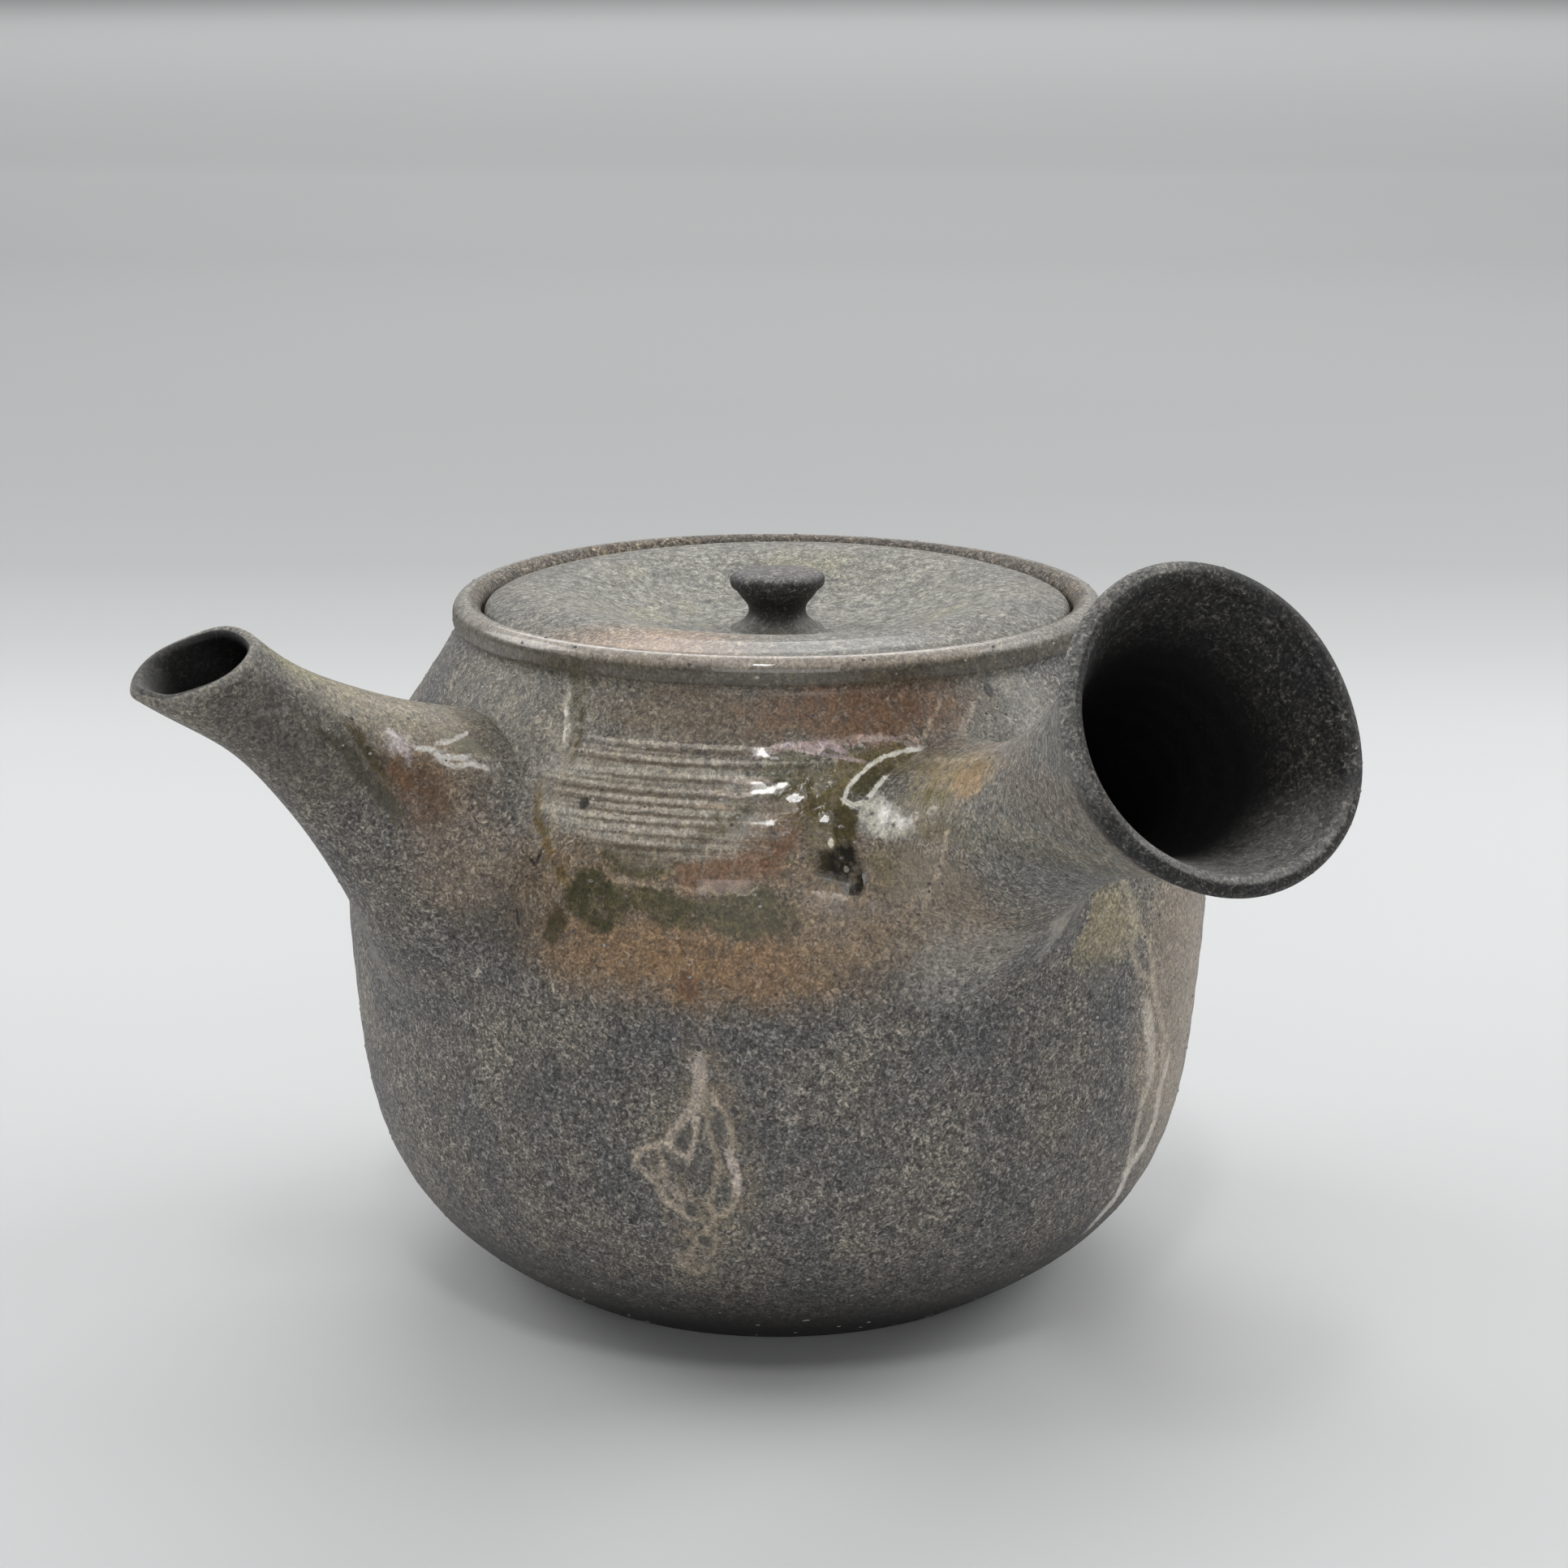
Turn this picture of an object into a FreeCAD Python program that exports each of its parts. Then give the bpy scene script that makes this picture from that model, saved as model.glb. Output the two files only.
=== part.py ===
import FreeCAD, Part
import math
import os

Vector = FreeCAD.Vector

# Side-handle teapot of wood-ash stoneware. Lengths are millimetres, angles are degrees.
# The origin is on the pot's axis at the face that it stands on. The spout pours along -X.

# Thrown body
body_diameter = 98.6
body_height = 78.8
belly_height = 47.0
foot_diameter = 58.0
body_wall = 3.2
floor_thickness = 4.5

# Rim, and the seat inside it that carries the lid
rim_diameter = 73.6
rim_wall = 3.2
rim_band_height = 2.9
groove_depth = 0.5
groove_height = 0.5
seat_depth = 3.8
seat_width = 3.6
seat_thickness = 3.4

# Spout, a thrown horn on a straight axis with its mouth cut aslant
spout_length = 32.7
spout_rise_angle = 37.1
spout_mouth_angle = 26.7
spout_mouth_diameter = 12.0
spout_waist_diameter = 11.2
spout_root_diameter = 24.8
spout_clay_diameter = 25.6
spout_mouth_wall = 1.5
spout_root_wall = 3.2
spout_lip_rounding = 0.4
pour_hole_diameter = 17.0

# Handle, a hollow trumpet set a little less than a right angle from the spout
handle_length = 44.2
handle_rise_angle = 28.4
handle_bearing_angle = 82.0
handle_mouth_diameter = 32.0
handle_waist_diameter = 16.8
handle_root_diameter = 20.4
handle_clay_diameter = 24.0
handle_lip_wall = 2.2
handle_root_wall = 3.4

# Pierced dome behind the spout
strainer_diameter = 26.0
strainer_wall = 1.6
strainer_hole_diameter = 1.8
strainer_ring_count = 4
strainer_holes_per_ring = 6
strainer_ring_angle = 13.5
strainer_edge_angle = 75.0
strainer_rise_angle = 27.0

# Lid, with a collar below and a knob above
lid_clearance = 0.35
lid_edge_drop = 0.75
lid_edge_rounding = 0.9
lid_crest_diameter = 54.0
lid_crest_rise = 0.4
lid_dish_depth = 4.6
lid_plate_thickness = 3.0
flange_wall = 3.0
flange_depth = 5.5
vent_diameter = 2.4
vent_offset = 9.0
vent_bearing_angle = 54.0
knob_height = 6.7
knob_diameter = 10.8
knob_edge_height = 1.6
knob_crown_height = 0.5
knob_neck_diameter = 6.4
knob_foot_diameter = 9.4

# How far a cutting shape runs past what it cuts
overrun = 10.0

# Outer wall: shares of the way up from foot to belly, and out from foot to belly
lower_wall_shares = ((0.164, 0.527), (0.306, 0.768), (0.51, 0.921), (0.736, 0.978))
# Shares of the way up from belly to neck, and out from neck to belly
shoulder_shares = (0.447, 0.762)
upper_wall_shares = ((0.644, 0.492), (0.915, 0.104))
# Horn walls: share of the length out from the body, share of the widening to the mouth,
# share of the widening to the root
spout_shares = (
    (-0.45, 0.0, 1.94), (0.0, 0.0, 1.0), (0.26, 0.0, 0.53), (0.5, 0.0, 0.21),
    (0.75, 0.0, 0.0), (1.0, 1.0, 0.0), (1.16, 1.3, 0.0),
)
handle_shares = (
    (-0.22, 0.0, 2.5), (0.0, 0.0, 1.0), (0.2, 0.0, 0.17), (0.37, 0.0, 0.0), (0.53, 0.08, 0.0),
    (0.68, 0.26, 0.0), (0.82, 0.51, 0.0), (0.93, 0.8, 0.0), (1.0, 1.0, 0.0),
)
# Worked clay: share of the horn's length, share of the widening to the clay's own root
spout_clay_shares = ((0.16, 0.70), (0.0, 1.0), (-0.18, 1.42), (-0.36, 1.87), (-0.48, 2.2))
handle_clay_shares = ((0.2, 0.18), (0.1, 0.45), (0.0, 1.0), (-0.1, 1.55), (-0.2, 2.4))
# Lid's dish: share of the way from knob foot to crest, share of the rise from dish to crest
dish_shares = ((0.3, 0.12), (0.6, 0.5), (0.85, 0.9))
# Knob: share of its height, share of the widening from neck to foot
knob_stem_shares = ((0.1, 0.45), (0.25, 0.0), (0.38, 0.1), (0.5, 0.65))
# Knob's crown: share of the way out to the cap's edge, share of the crown's height
knob_crown_shares = (0.5, 0.75)

# Sizes that follow from the ones above
belly_radius = body_diameter / 2
foot_radius = foot_diameter / 2
rim_radius = rim_diameter / 2
rim_inner_radius = rim_radius - rim_wall
neck_radius = rim_radius - groove_depth
neck_height = body_height - rim_band_height - groove_height
seat_height = body_height - seat_depth
throat_radius = rim_inner_radius - seat_width
lid_radius = rim_inner_radius - lid_clearance
flange_radius = throat_radius - lid_clearance
lid_edge_height = body_height - lid_edge_drop
crest_height = body_height + lid_crest_rise
dish_height = crest_height - lid_dish_depth


def at(radius, height):
    """Point of an outline in the plane that is turned about the axis."""
    return Vector(radius, 0, height)


def between(start, end, share):
    return start + share * (end - start)


def line(start, end):
    return Part.makeLine(start, end)


def arc(start, middle, end):
    return Part.Arc(start, middle, end).toShape()


def smooth(points):
    curve = Part.BSplineCurve()
    curve.interpolate(points)
    return curve.toShape()


def turned(edges):
    """Solid of a closed outline turned once about the Z axis."""
    face = Part.Face(Part.Wire(edges))
    return face.revolve(Vector(0, 0, 0), Vector(0, 0, 1), 360)


def wall_points(foot, foot_level, belly, neck, neck_level):
    """Points of a pot wall from its foot to its neck."""
    lower = [
        at(between(foot, belly, out), between(foot_level, belly_height, up))
        for up, out in lower_wall_shares
    ]
    upper = [
        at(between(neck, belly, out), between(belly_height, neck_level, up))
        for up, out in (shoulder_shares,) + upper_wall_shares
    ]
    return [at(foot, foot_level)] + lower + [at(belly, belly_height)] + upper + [at(neck, neck_level)]


def rim_edges():
    """Rim band, its rounded lip, and the seat down to the throat."""
    band_foot = at(rim_radius, neck_height + groove_height)
    lip_radius = rim_wall / 2
    lip_outer = at(rim_radius, body_height - lip_radius)
    lip_top = at(rim_radius - lip_radius, body_height)
    lip_inner = at(rim_inner_radius, body_height - lip_radius)
    seat_outer = at(rim_inner_radius, seat_height)
    seat_inner = at(throat_radius, seat_height)
    return [
        line(at(neck_radius, neck_height), band_foot),
        line(band_foot, lip_outer),
        arc(lip_outer, lip_top, lip_inner),
        line(lip_inner, seat_outer),
        line(seat_outer, seat_inner),
    ]


def outer_points():
    return wall_points(foot_radius, 0, belly_radius, neck_radius, neck_height)


def pot_envelope():
    """Everything inside the outer wall and rim, as one solid."""
    seat_outer = at(rim_inner_radius, seat_height)
    seat_centre = at(0, seat_height)
    return turned([
        line(at(0, 0), at(foot_radius, 0)),
        smooth(outer_points()),
    ] + rim_edges()[:4] + [
        line(seat_outer, seat_centre),
        line(seat_centre, at(0, 0)),
    ])


def inner_points():
    foot = foot_radius - body_wall
    belly = belly_radius - body_wall
    neck = neck_radius - body_wall
    return wall_points(foot, floor_thickness, belly, neck, seat_height - seat_thickness)


def pot_cavity():
    """The space that holds the tea, below the seat."""
    points = inner_points()
    floor_centre = at(0, floor_thickness)
    top_centre = at(0, points[-1].z)
    return turned([
        line(floor_centre, points[0]),
        smooth(points),
        line(points[-1], top_centre),
        line(top_centre, floor_centre),
    ])


def bearing_vector(bearing):
    """Level direction, turned from -X towards -Y by a bearing."""
    angle = math.radians(bearing)
    return Vector(-math.cos(angle), -math.sin(angle), 0)


def horn_placement(bearing, rise):
    """Where a horn stands on the shoulder, with its axis along local Z."""
    level = bearing_vector(bearing)
    axis = level * math.cos(math.radians(rise)) + Vector(0, 0, math.sin(math.radians(rise)))
    up_share, out_share = shoulder_shares
    root = level * between(neck_radius, belly_radius, out_share)
    root.z = between(belly_height, neck_height, up_share)
    return FreeCAD.Placement(root, FreeCAD.Rotation(Vector(0, 0, 1), axis))


def horn_points(length, waist, mouth, root, shares):
    """Outer outline of a horn, with the body at zero and the mouth at its length."""
    return [
        at(waist + mouth_share * (mouth - waist) + root_share * (root - waist), length * along)
        for along, mouth_share, root_share in shares
    ]


def bore_points(points, length, mouth_wall, root_wall):
    """Inner outline of a horn whose wall grows from the mouth to the root."""
    inner = []
    for point in points:
        away = 1 - point.z / length
        wall = between(mouth_wall, root_wall, away * away)
        inner.append(at(point.x - wall, point.z))
    return inner


def filled(points):
    """Solid of an outline closed to the axis at both ends."""
    low = at(0, points[0].z)
    high = at(0, points[-1].z)
    return turned([line(low, points[0]), smooth(points), line(points[-1], high), line(high, low)])


def spout_outline():
    return horn_points(
        spout_length,
        spout_waist_diameter / 2,
        spout_mouth_diameter / 2,
        spout_root_diameter / 2,
        spout_shares,
    )


def handle_outline():
    return horn_points(
        handle_length,
        handle_waist_diameter / 2,
        handle_mouth_diameter / 2,
        handle_root_diameter / 2,
        handle_shares,
    )


def placed(shape, placement):
    shape.Placement = placement
    return shape


def make_spout(envelope, placement):
    outer = filled(spout_outline())
    bore = filled(bore_points(spout_outline(), spout_length, spout_mouth_wall, spout_root_wall))
    tilt = math.radians(spout_mouth_angle)
    mouth_normal = Vector(math.sin(tilt), 0, math.cos(tilt))
    knife = Part.makeCylinder(
        spout_mouth_diameter, spout_length, Vector(0, 0, spout_length), mouth_normal
    )
    horn = outer.cut(bore).cut(knife)
    lips = [
        edge for edge in horn.Edges
        if abs((edge.BoundBox.Center - Vector(0, 0, spout_length)).dot(mouth_normal)) < spout_mouth_wall
        and edge.BoundBox.ZMin > spout_length - spout_mouth_diameter
        and edge.BoundBox.ZLength > spout_mouth_wall
    ]
    horn = horn.makeFillet(spout_lip_rounding, lips)
    return placed(horn, placement).cut(envelope)


def make_root_clay(horn_outline, clay_radius, waist, length, shares, envelope, placement):
    """Skirt of worked clay between a horn and the body."""
    clay_points = [
        at(between(waist, clay_radius, widening), length * along) for along, widening in shares
    ]
    clay = filled(clay_points).cut(filled(horn_outline))
    return placed(clay, placement).cut(envelope)


def make_handle(envelope, placement):
    """Trumpet wall with a rounded lip, open at the mouth and closed by the body."""
    outer = handle_outline()
    inner = bore_points(outer, handle_length, handle_lip_wall, handle_root_wall)
    lip_radius = handle_lip_wall / 2
    lip_top = at(outer[-1].x - lip_radius, handle_length + lip_radius)
    horn = turned([
        smooth(outer),
        arc(outer[-1], lip_top, inner[-1]),
        smooth(inner[::-1]),
        line(inner[0], outer[0]),
    ])
    return placed(horn, placement).cut(envelope)


def make_pour_hole(placement):
    hole = Part.makeCylinder(
        pour_hole_diameter / 2, strainer_diameter, Vector(0, 0, -strainer_diameter / 2)
    )
    return placed(hole, placement)


def make_body_shell(pour_hole):
    rim = rim_edges()
    points = inner_points()
    ceiling = at(throat_radius, points[-1].z)
    floor_centre = at(0, floor_thickness)
    shell = turned([
        line(at(0, 0), at(foot_radius, 0)),
        smooth(outer_points()),
    ] + rim + [
        line(at(throat_radius, seat_height), ceiling),
        line(ceiling, points[-1]),
        smooth(points[::-1]),
        line(points[0], floor_centre),
        line(floor_centre, at(0, 0)),
    ])
    return shell.cut(pour_hole)


def strainer_hole(polar, turn):
    """One hole through the dome, leaning from its axis by the polar angle."""
    direction = Vector(
        math.sin(polar) * math.cos(turn), math.sin(polar) * math.sin(turn), -math.cos(polar)
    )
    start = direction * (strainer_diameter / 2 - 2 * strainer_wall)
    return Part.makeCylinder(strainer_hole_diameter / 2, 3 * strainer_wall, start, direction)


def dome_point(radius, polar):
    return at(radius * math.sin(polar), -radius * math.cos(polar))


def dome_arc(radius, start, end):
    return arc(
        dome_point(radius, start), dome_point(radius, (start + end) / 2), dome_point(radius, end)
    )


def around_cavity(cavity):
    """Everything near the pot that isn't in the space for tea."""
    block = Part.makeCylinder(body_diameter, body_height)
    return block.cut(cavity)


def make_strainer(surroundings, placement):
    """Spherical dome that bulges into the pot, with rings of holes."""
    outer = strainer_diameter / 2
    inner = outer - strainer_wall
    edge = math.radians(strainer_edge_angle)
    dome = turned([
        dome_arc(outer, 0, edge),
        line(dome_point(outer, edge), dome_point(inner, edge)),
        dome_arc(inner, edge, 0),
        line(dome_point(inner, 0), dome_point(outer, 0)),
    ])
    holes = [strainer_hole(0, 0)]
    for ring in range(1, strainer_ring_count + 1):
        count = strainer_holes_per_ring * ring
        for step in range(count):
            holes.append(strainer_hole(math.radians(ring * strainer_ring_angle), step * math.tau / count))
    return placed(dome.cut(holes), placement).cut(surroundings)


def make_lid_plate():
    knob_foot = knob_foot_diameter / 2
    crest_radius = lid_crest_diameter / 2
    flange_inner = flange_radius - flange_wall
    edge_top = lid_edge_height - lid_edge_rounding
    corner_share = 1 - math.sqrt(0.5)
    dish = [
        at(between(knob_foot, crest_radius, out), between(dish_height, crest_height, up))
        for out, up in dish_shares
    ]
    top = [at(knob_foot, dish_height)] + dish + [at(crest_radius, crest_height)]
    corner_end = at(lid_radius - lid_edge_rounding, lid_edge_height)
    corner_middle = at(
        lid_radius - corner_share * lid_edge_rounding, lid_edge_height - corner_share * lid_edge_rounding
    )
    under = [
        at(point.x, point.z - lid_plate_thickness) for point in [at(0, dish_height)] + dish[:2]
    ]
    under_end = at(flange_inner, seat_height)
    plate = turned([
        line(at(0, dish_height), top[0]),
        smooth(top),
        line(top[-1], corner_end),
        arc(corner_end, corner_middle, at(lid_radius, edge_top)),
        line(at(lid_radius, edge_top), at(lid_radius, seat_height)),
        line(at(lid_radius, seat_height), under_end),
        smooth([under_end] + under[::-1]),
        line(under[0], at(0, dish_height)),
    ])
    vent_place = bearing_vector(vent_bearing_angle + 180) * vent_offset
    vent_place.z = seat_height - overrun
    return plate.cut(Part.makeCylinder(vent_diameter / 2, 2 * overrun, vent_place))


def make_lid_flange():
    inner = flange_radius - flange_wall
    low = seat_height - flange_depth
    rounding = flange_wall / 2
    return turned([
        line(at(inner, seat_height), at(flange_radius, seat_height)),
        line(at(flange_radius, seat_height), at(flange_radius, low + rounding)),
        arc(at(flange_radius, low + rounding), at(inner + rounding, low), at(inner, low + rounding)),
        line(at(inner, low + rounding), at(inner, seat_height)),
    ])


def make_lid_knob():
    """Mushroom knob with a slightly crowned cap on a waisted stem."""
    foot = knob_foot_diameter / 2
    neck = knob_neck_diameter / 2
    cap = knob_diameter / 2
    top = dish_height + knob_height
    cap_rounding = knob_edge_height / 2
    cap_rim = top - knob_crown_height
    cap_low = at(cap - cap_rounding, cap_rim - knob_edge_height)
    cap_side = at(cap, cap_rim - cap_rounding)
    cap_high = at(cap - cap_rounding, cap_rim)
    crown_out, crown_up = knob_crown_shares
    crown_middle = at(cap_high.x * crown_out, between(cap_rim, top, crown_up))
    stem = [
        at(between(neck, foot, out), dish_height + knob_height * up) for up, out in knob_stem_shares
    ]
    return turned([
        line(at(0, dish_height), at(foot, dish_height)),
        smooth([at(foot, dish_height)] + stem + [cap_low]),
        arc(cap_low, cap_side, cap_high),
        smooth([cap_high, crown_middle, at(0, top)]),
        line(at(0, top), at(0, dish_height)),
    ])


def save(name, shape):
    solids = shape.Solids
    solid = solids[0] if len(solids) == 1 else Part.makeCompound(solids)
    solid.exportStep("parts/" + name + ".step")
    box = solid.BoundBox
    print(
        f"{name}: {len(solids)} solid, valid {solid.isValid()}, volume {solid.Volume:.0f}, "
        f"x {box.XMin:.1f} to {box.XMax:.1f}, y {box.YMin:.1f} to {box.YMax:.1f}, "
        f"z {box.ZMin:.1f} to {box.ZMax:.1f}"
    )


os.makedirs("parts", exist_ok=True)

pot = pot_envelope()
cavity = pot_cavity()
spout_place = horn_placement(0, spout_rise_angle)
handle_place = horn_placement(handle_bearing_angle, handle_rise_angle)

save("body_shell", make_body_shell(make_pour_hole(spout_place)))
save("spout", make_spout(pot, spout_place))
save("spout_root_clay", make_root_clay(
    spout_outline(), spout_clay_diameter / 2, spout_waist_diameter / 2,
    spout_length, spout_clay_shares, pot, spout_place,
))
save("strainer", make_strainer(around_cavity(cavity), horn_placement(0, strainer_rise_angle)))
save("handle", make_handle(pot, handle_place))
save("handle_root_clay", make_root_clay(
    handle_outline(), handle_clay_diameter / 2, handle_waist_diameter / 2,
    handle_length, handle_clay_shares, pot, handle_place,
))
save("lid_plate", make_lid_plate())
save("lid_flange", make_lid_flange())
save("lid_knob", make_lid_knob())
print(f"tea space holds {cavity.Volume / 1000:.0f} ml")
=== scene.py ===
# %% [markdown]
# A side-handle teapot of wood-fired stoneware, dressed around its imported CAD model.
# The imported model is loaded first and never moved. It says where each piece is, and every skin made
# below goes where it says. Sizes are in millimetres until a mesh is written, because that is how a
# potter would measure them, and MM turns them into Blender's metres.

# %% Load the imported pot
import math

import bmesh
import bpy
import numpy as np
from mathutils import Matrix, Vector


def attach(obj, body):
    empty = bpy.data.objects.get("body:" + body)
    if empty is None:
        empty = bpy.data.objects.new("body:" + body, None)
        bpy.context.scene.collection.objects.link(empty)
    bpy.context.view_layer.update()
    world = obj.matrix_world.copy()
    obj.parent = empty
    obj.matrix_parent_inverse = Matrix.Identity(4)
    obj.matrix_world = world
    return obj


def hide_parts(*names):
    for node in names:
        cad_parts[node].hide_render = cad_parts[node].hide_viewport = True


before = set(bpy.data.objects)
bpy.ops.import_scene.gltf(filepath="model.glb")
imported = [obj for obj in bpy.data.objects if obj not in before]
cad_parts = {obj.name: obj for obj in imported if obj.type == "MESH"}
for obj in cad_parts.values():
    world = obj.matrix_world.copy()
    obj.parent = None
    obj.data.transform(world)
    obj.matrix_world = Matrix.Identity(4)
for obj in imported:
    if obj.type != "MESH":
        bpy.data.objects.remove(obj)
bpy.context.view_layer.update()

MM = 0.001
print("pieces of the packed pot:", ", ".join(sorted(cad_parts)))

# %% [markdown]
# The camera comes first, so that each later step can be judged in the view of the photograph. Its
# lens and height were worked out from how flat the ellipses of rim and foot look, which is surer than
# turning the view by eye. It looks straight on to a front that lies between spout and handle.

# %% Camera
camera_bearing = math.radians(-36.0)
camera_distance = 365.4
camera_height = 151.35
camera_side_step = 0.77
camera_dip = math.radians(14.62)
lens_length = 75.11

to_camera = np.array([math.sin(camera_bearing), -math.cos(camera_bearing), 0.0])
to_right = np.array([math.cos(camera_bearing), math.sin(camera_bearing), 0.0])


def make_camera():
    data = bpy.data.cameras.new("photo_view")
    data.lens = lens_length
    data.sensor_width = 36.0
    data.clip_start = 0.01
    camera = bpy.data.objects.new("photo_view", data)
    place = to_camera * camera_distance + to_right * camera_side_step
    camera.location = (place[0] * MM, place[1] * MM, camera_height * MM)
    camera.rotation_euler = (math.pi / 2 - camera_dip, 0, camera_bearing)
    bpy.context.scene.collection.objects.link(camera)
    bpy.context.scene.camera = camera
    return camera


camera = make_camera()
print("camera at", [round(v, 3) for v in camera.location])

# %% [markdown]
# A pot is turned, so its skin is a stack of rings. Each ring is a row of points, and the rows are
# joined by quads. A Screw modifier turns an outline too, but rows of points made in NumPy can be
# pushed in and out one by one, and that is where the marks of hands and tools come from.

# %% Curves and skins


def curve_through(points, count):
    """Evenly spaced points on a smooth line through a few chosen ones."""
    points = np.array(points, float)
    knots = np.r_[0, np.cumsum(np.linalg.norm(np.diff(points, axis=0), axis=1))]
    gaps = np.diff(knots)
    last = len(points) - 1
    system = np.eye(last + 1)
    pull = np.zeros_like(points)
    for i in range(1, last):
        system[i, i - 1:i + 2] = gaps[i - 1], 2 * (gaps[i - 1] + gaps[i]), gaps[i]
        ahead = (points[i + 1] - points[i]) / gaps[i]
        behind = (points[i] - points[i - 1]) / gaps[i - 1]
        pull[i] = 6 * (ahead - behind)
    bend = np.linalg.solve(system, pull)
    places = np.linspace(0, knots[-1], count)
    k = np.clip(np.searchsorted(knots, places) - 1, 0, last - 1)
    gap = gaps[k][:, None]
    to_next = (knots[k + 1] - places)[:, None]
    from_last = (places - knots[k])[:, None]
    curved = (bend[k] * to_next ** 3 + bend[k + 1] * from_last ** 3) / (6 * gap)
    straight_back = (points[k] / gap - bend[k] * gap / 6) * to_next
    straight_on = (points[k + 1] / gap - bend[k + 1] * gap / 6) * from_last
    return curved + straight_back + straight_on


def arc_points(centre, radius, start, end, count):
    """Points of an arc in the outline plane, with angles in degrees from the outward level."""
    angles = np.radians(np.linspace(start, end, count))
    return np.c_[centre[0] + radius * np.cos(angles), centre[1] + radius * np.sin(angles)]


def straight(start, end, count):
    return np.linspace(start, end, count)


def ring_faces(rows, columns, joined):
    """Quads between rows of points, with each row closed on itself."""
    bands = rows if joined else rows - 1
    row = np.repeat(np.arange(bands), columns)
    column = np.tile(np.arange(columns), bands)
    after = (column + 1) % columns
    above = (row + 1) % rows
    low, high = row * columns, above * columns
    return np.c_[low + column, low + after, high + after, high + column]


def skin(name, rings, joined=False, **marks):
    """Closed mesh object of a stack of rings in millimetres. The ends are joined or get a pole.
    Each mark is a value for every ring, such as inside, that a finish reads back from the mesh."""
    rows, columns = rings.shape[:2]
    points = rings.reshape(-1, 3)
    faces = ring_faces(rows, columns, joined).tolist()
    if not joined:
        poles = [rings[0].mean(0), rings[-1].mean(0)]
        points = np.vstack([points, poles])
        first, last = rows * columns, rows * columns + 1
        top = (rows - 1) * columns
        for i in range(columns):
            after = (i + 1) % columns
            faces.append((first, after, i))
            faces.append((last, top + i, top + after))
    mesh = bpy.data.meshes.new(name)
    mesh.from_pydata((points * MM).tolist(), [], faces)
    for mark, values in marks.items():
        spread = np.repeat(np.array(values, float), columns)
        if not joined:
            spread = np.r_[spread, values[0], values[-1]]
        mesh.attributes.new(mark, "FLOAT", "POINT").data.foreach_set("value", spread)
    return finished(name, mesh)


def finished(name, mesh):
    """Object of a mesh whose normals face out and whose faces are smooth."""
    work = bmesh.new()
    work.from_mesh(mesh)
    bmesh.ops.recalc_face_normals(work, faces=work.faces)
    work.to_mesh(mesh)
    work.free()
    mesh.shade_smooth()
    piece = bpy.data.objects.new(name, mesh)
    bpy.context.scene.collection.objects.link(piece)
    print(f"{name}: {len(mesh.vertices)} points, {len(mesh.polygons)} faces")
    return piece


# %% [markdown]
# Clay that was thrown by hand is never quite round. A few slow waves, drawn once with a fixed seed,
# give the same wander each time, and because they are sums of sines they work on whole arrays.

# %% Hand wander


def wander(bearing, height, seed, around=(1, 6), rise=(0.01, 0.05), waves=7):
    """Slow seeded ripple, about one high, over bearing in radians and height in millimetres."""
    draw = np.random.default_rng(seed)
    total = 0
    for _ in range(waves):
        turns = draw.integers(*around)
        climb = draw.uniform(*rise) * draw.choice([-1, 1])
        total = total + np.sin(turns * bearing + math.tau * climb * height + draw.uniform(0, math.tau))
    return total / math.sqrt(waves)


def bump_at(distance, reach):
    """Smooth bump that is one at no distance and fades over its reach."""
    return np.exp(-((distance / reach) ** 2))


def smooth_between(low, high, value):
    share = np.clip((value - low) / (high - low), 0, 1)
    return share * share * (3 - 2 * share)


# %% [markdown]
# The wall's outline is the CAD model's. On it come the marks of making: a low throwing spiral, the
# fine combing on the front of the shoulder, and glaze that stands a little proud where it pooled.
# A displacement modifier could push these in from a picture, but a formula stays sharp at any size.
# Bearings are measured from the front, to the right, so that a mark can be found in the photograph.

# %% Body outline and marks
wall_outline = [
    (29.0, 0.0), (39.7, 7.7), (44.6, 14.4), (47.7, 24.0), (48.85, 34.6), (49.3, 47.0),
    (46.2, 59.7), (42.7, 65.3), (37.65, 73.0), (36.3, 75.2),
]
wall_line = curve_through(wall_outline, 1200)
spiral_pitch = 3.6
spiral_height = 0.04
swell_height = 0.12
groove_heights = (69.6, 68.3, 66.9, 65.5, 64.5, 63.7, 62.8, 61.8, 60.6)
groove_depths = (0.08, 0.10, 0.24, 0.12, 0.20, 0.18, 0.14, 0.13, 0.16)
groove_starts = (-31, -33, -31, -33, -33, -31, -29, -27, -25)
groove_ends = (4, 6, 0, -2, -6, -7, -8, -9, -12)
groove_width = 0.3
groove_drift = 0.12
groove_fade = 1.5

# Pools of glaze: bearing, height, half width along the wall, half height, thickness
glaze_pools = [
    (8.4, 60.0, 2.4, 4.6, 0.32), (6.0, 64.6, 3.2, 1.6, 0.20), (14.5, 66.8, 5.6, 1.5, 0.24),
    (22.0, 64.0, 4.6, 1.8, 0.16), (17.5, 58.5, 4.0, 2.4, 0.14), (-24.6, 54.3, 3.4, 2.2, 0.22),
    (-27.6, 52.2, 1.5, 1.7, 0.16), (-17.5, 54.2, 3.4, 1.4, 0.14), (-9.5, 54.0, 4.4, 1.7, 0.18),
    (-1.8, 52.0, 3.6, 1.8, 0.08), (-31.5, 71.2, 1.1, 3.4, 0.22),
]


def facing(points):
    """Bearing from the front, in radians, of points in millimetres."""
    return np.arctan2(points @ to_right, points @ to_camera)


def wall_radius(height):
    return np.interp(height, wall_line[:, 1], wall_line[:, 0])


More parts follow.
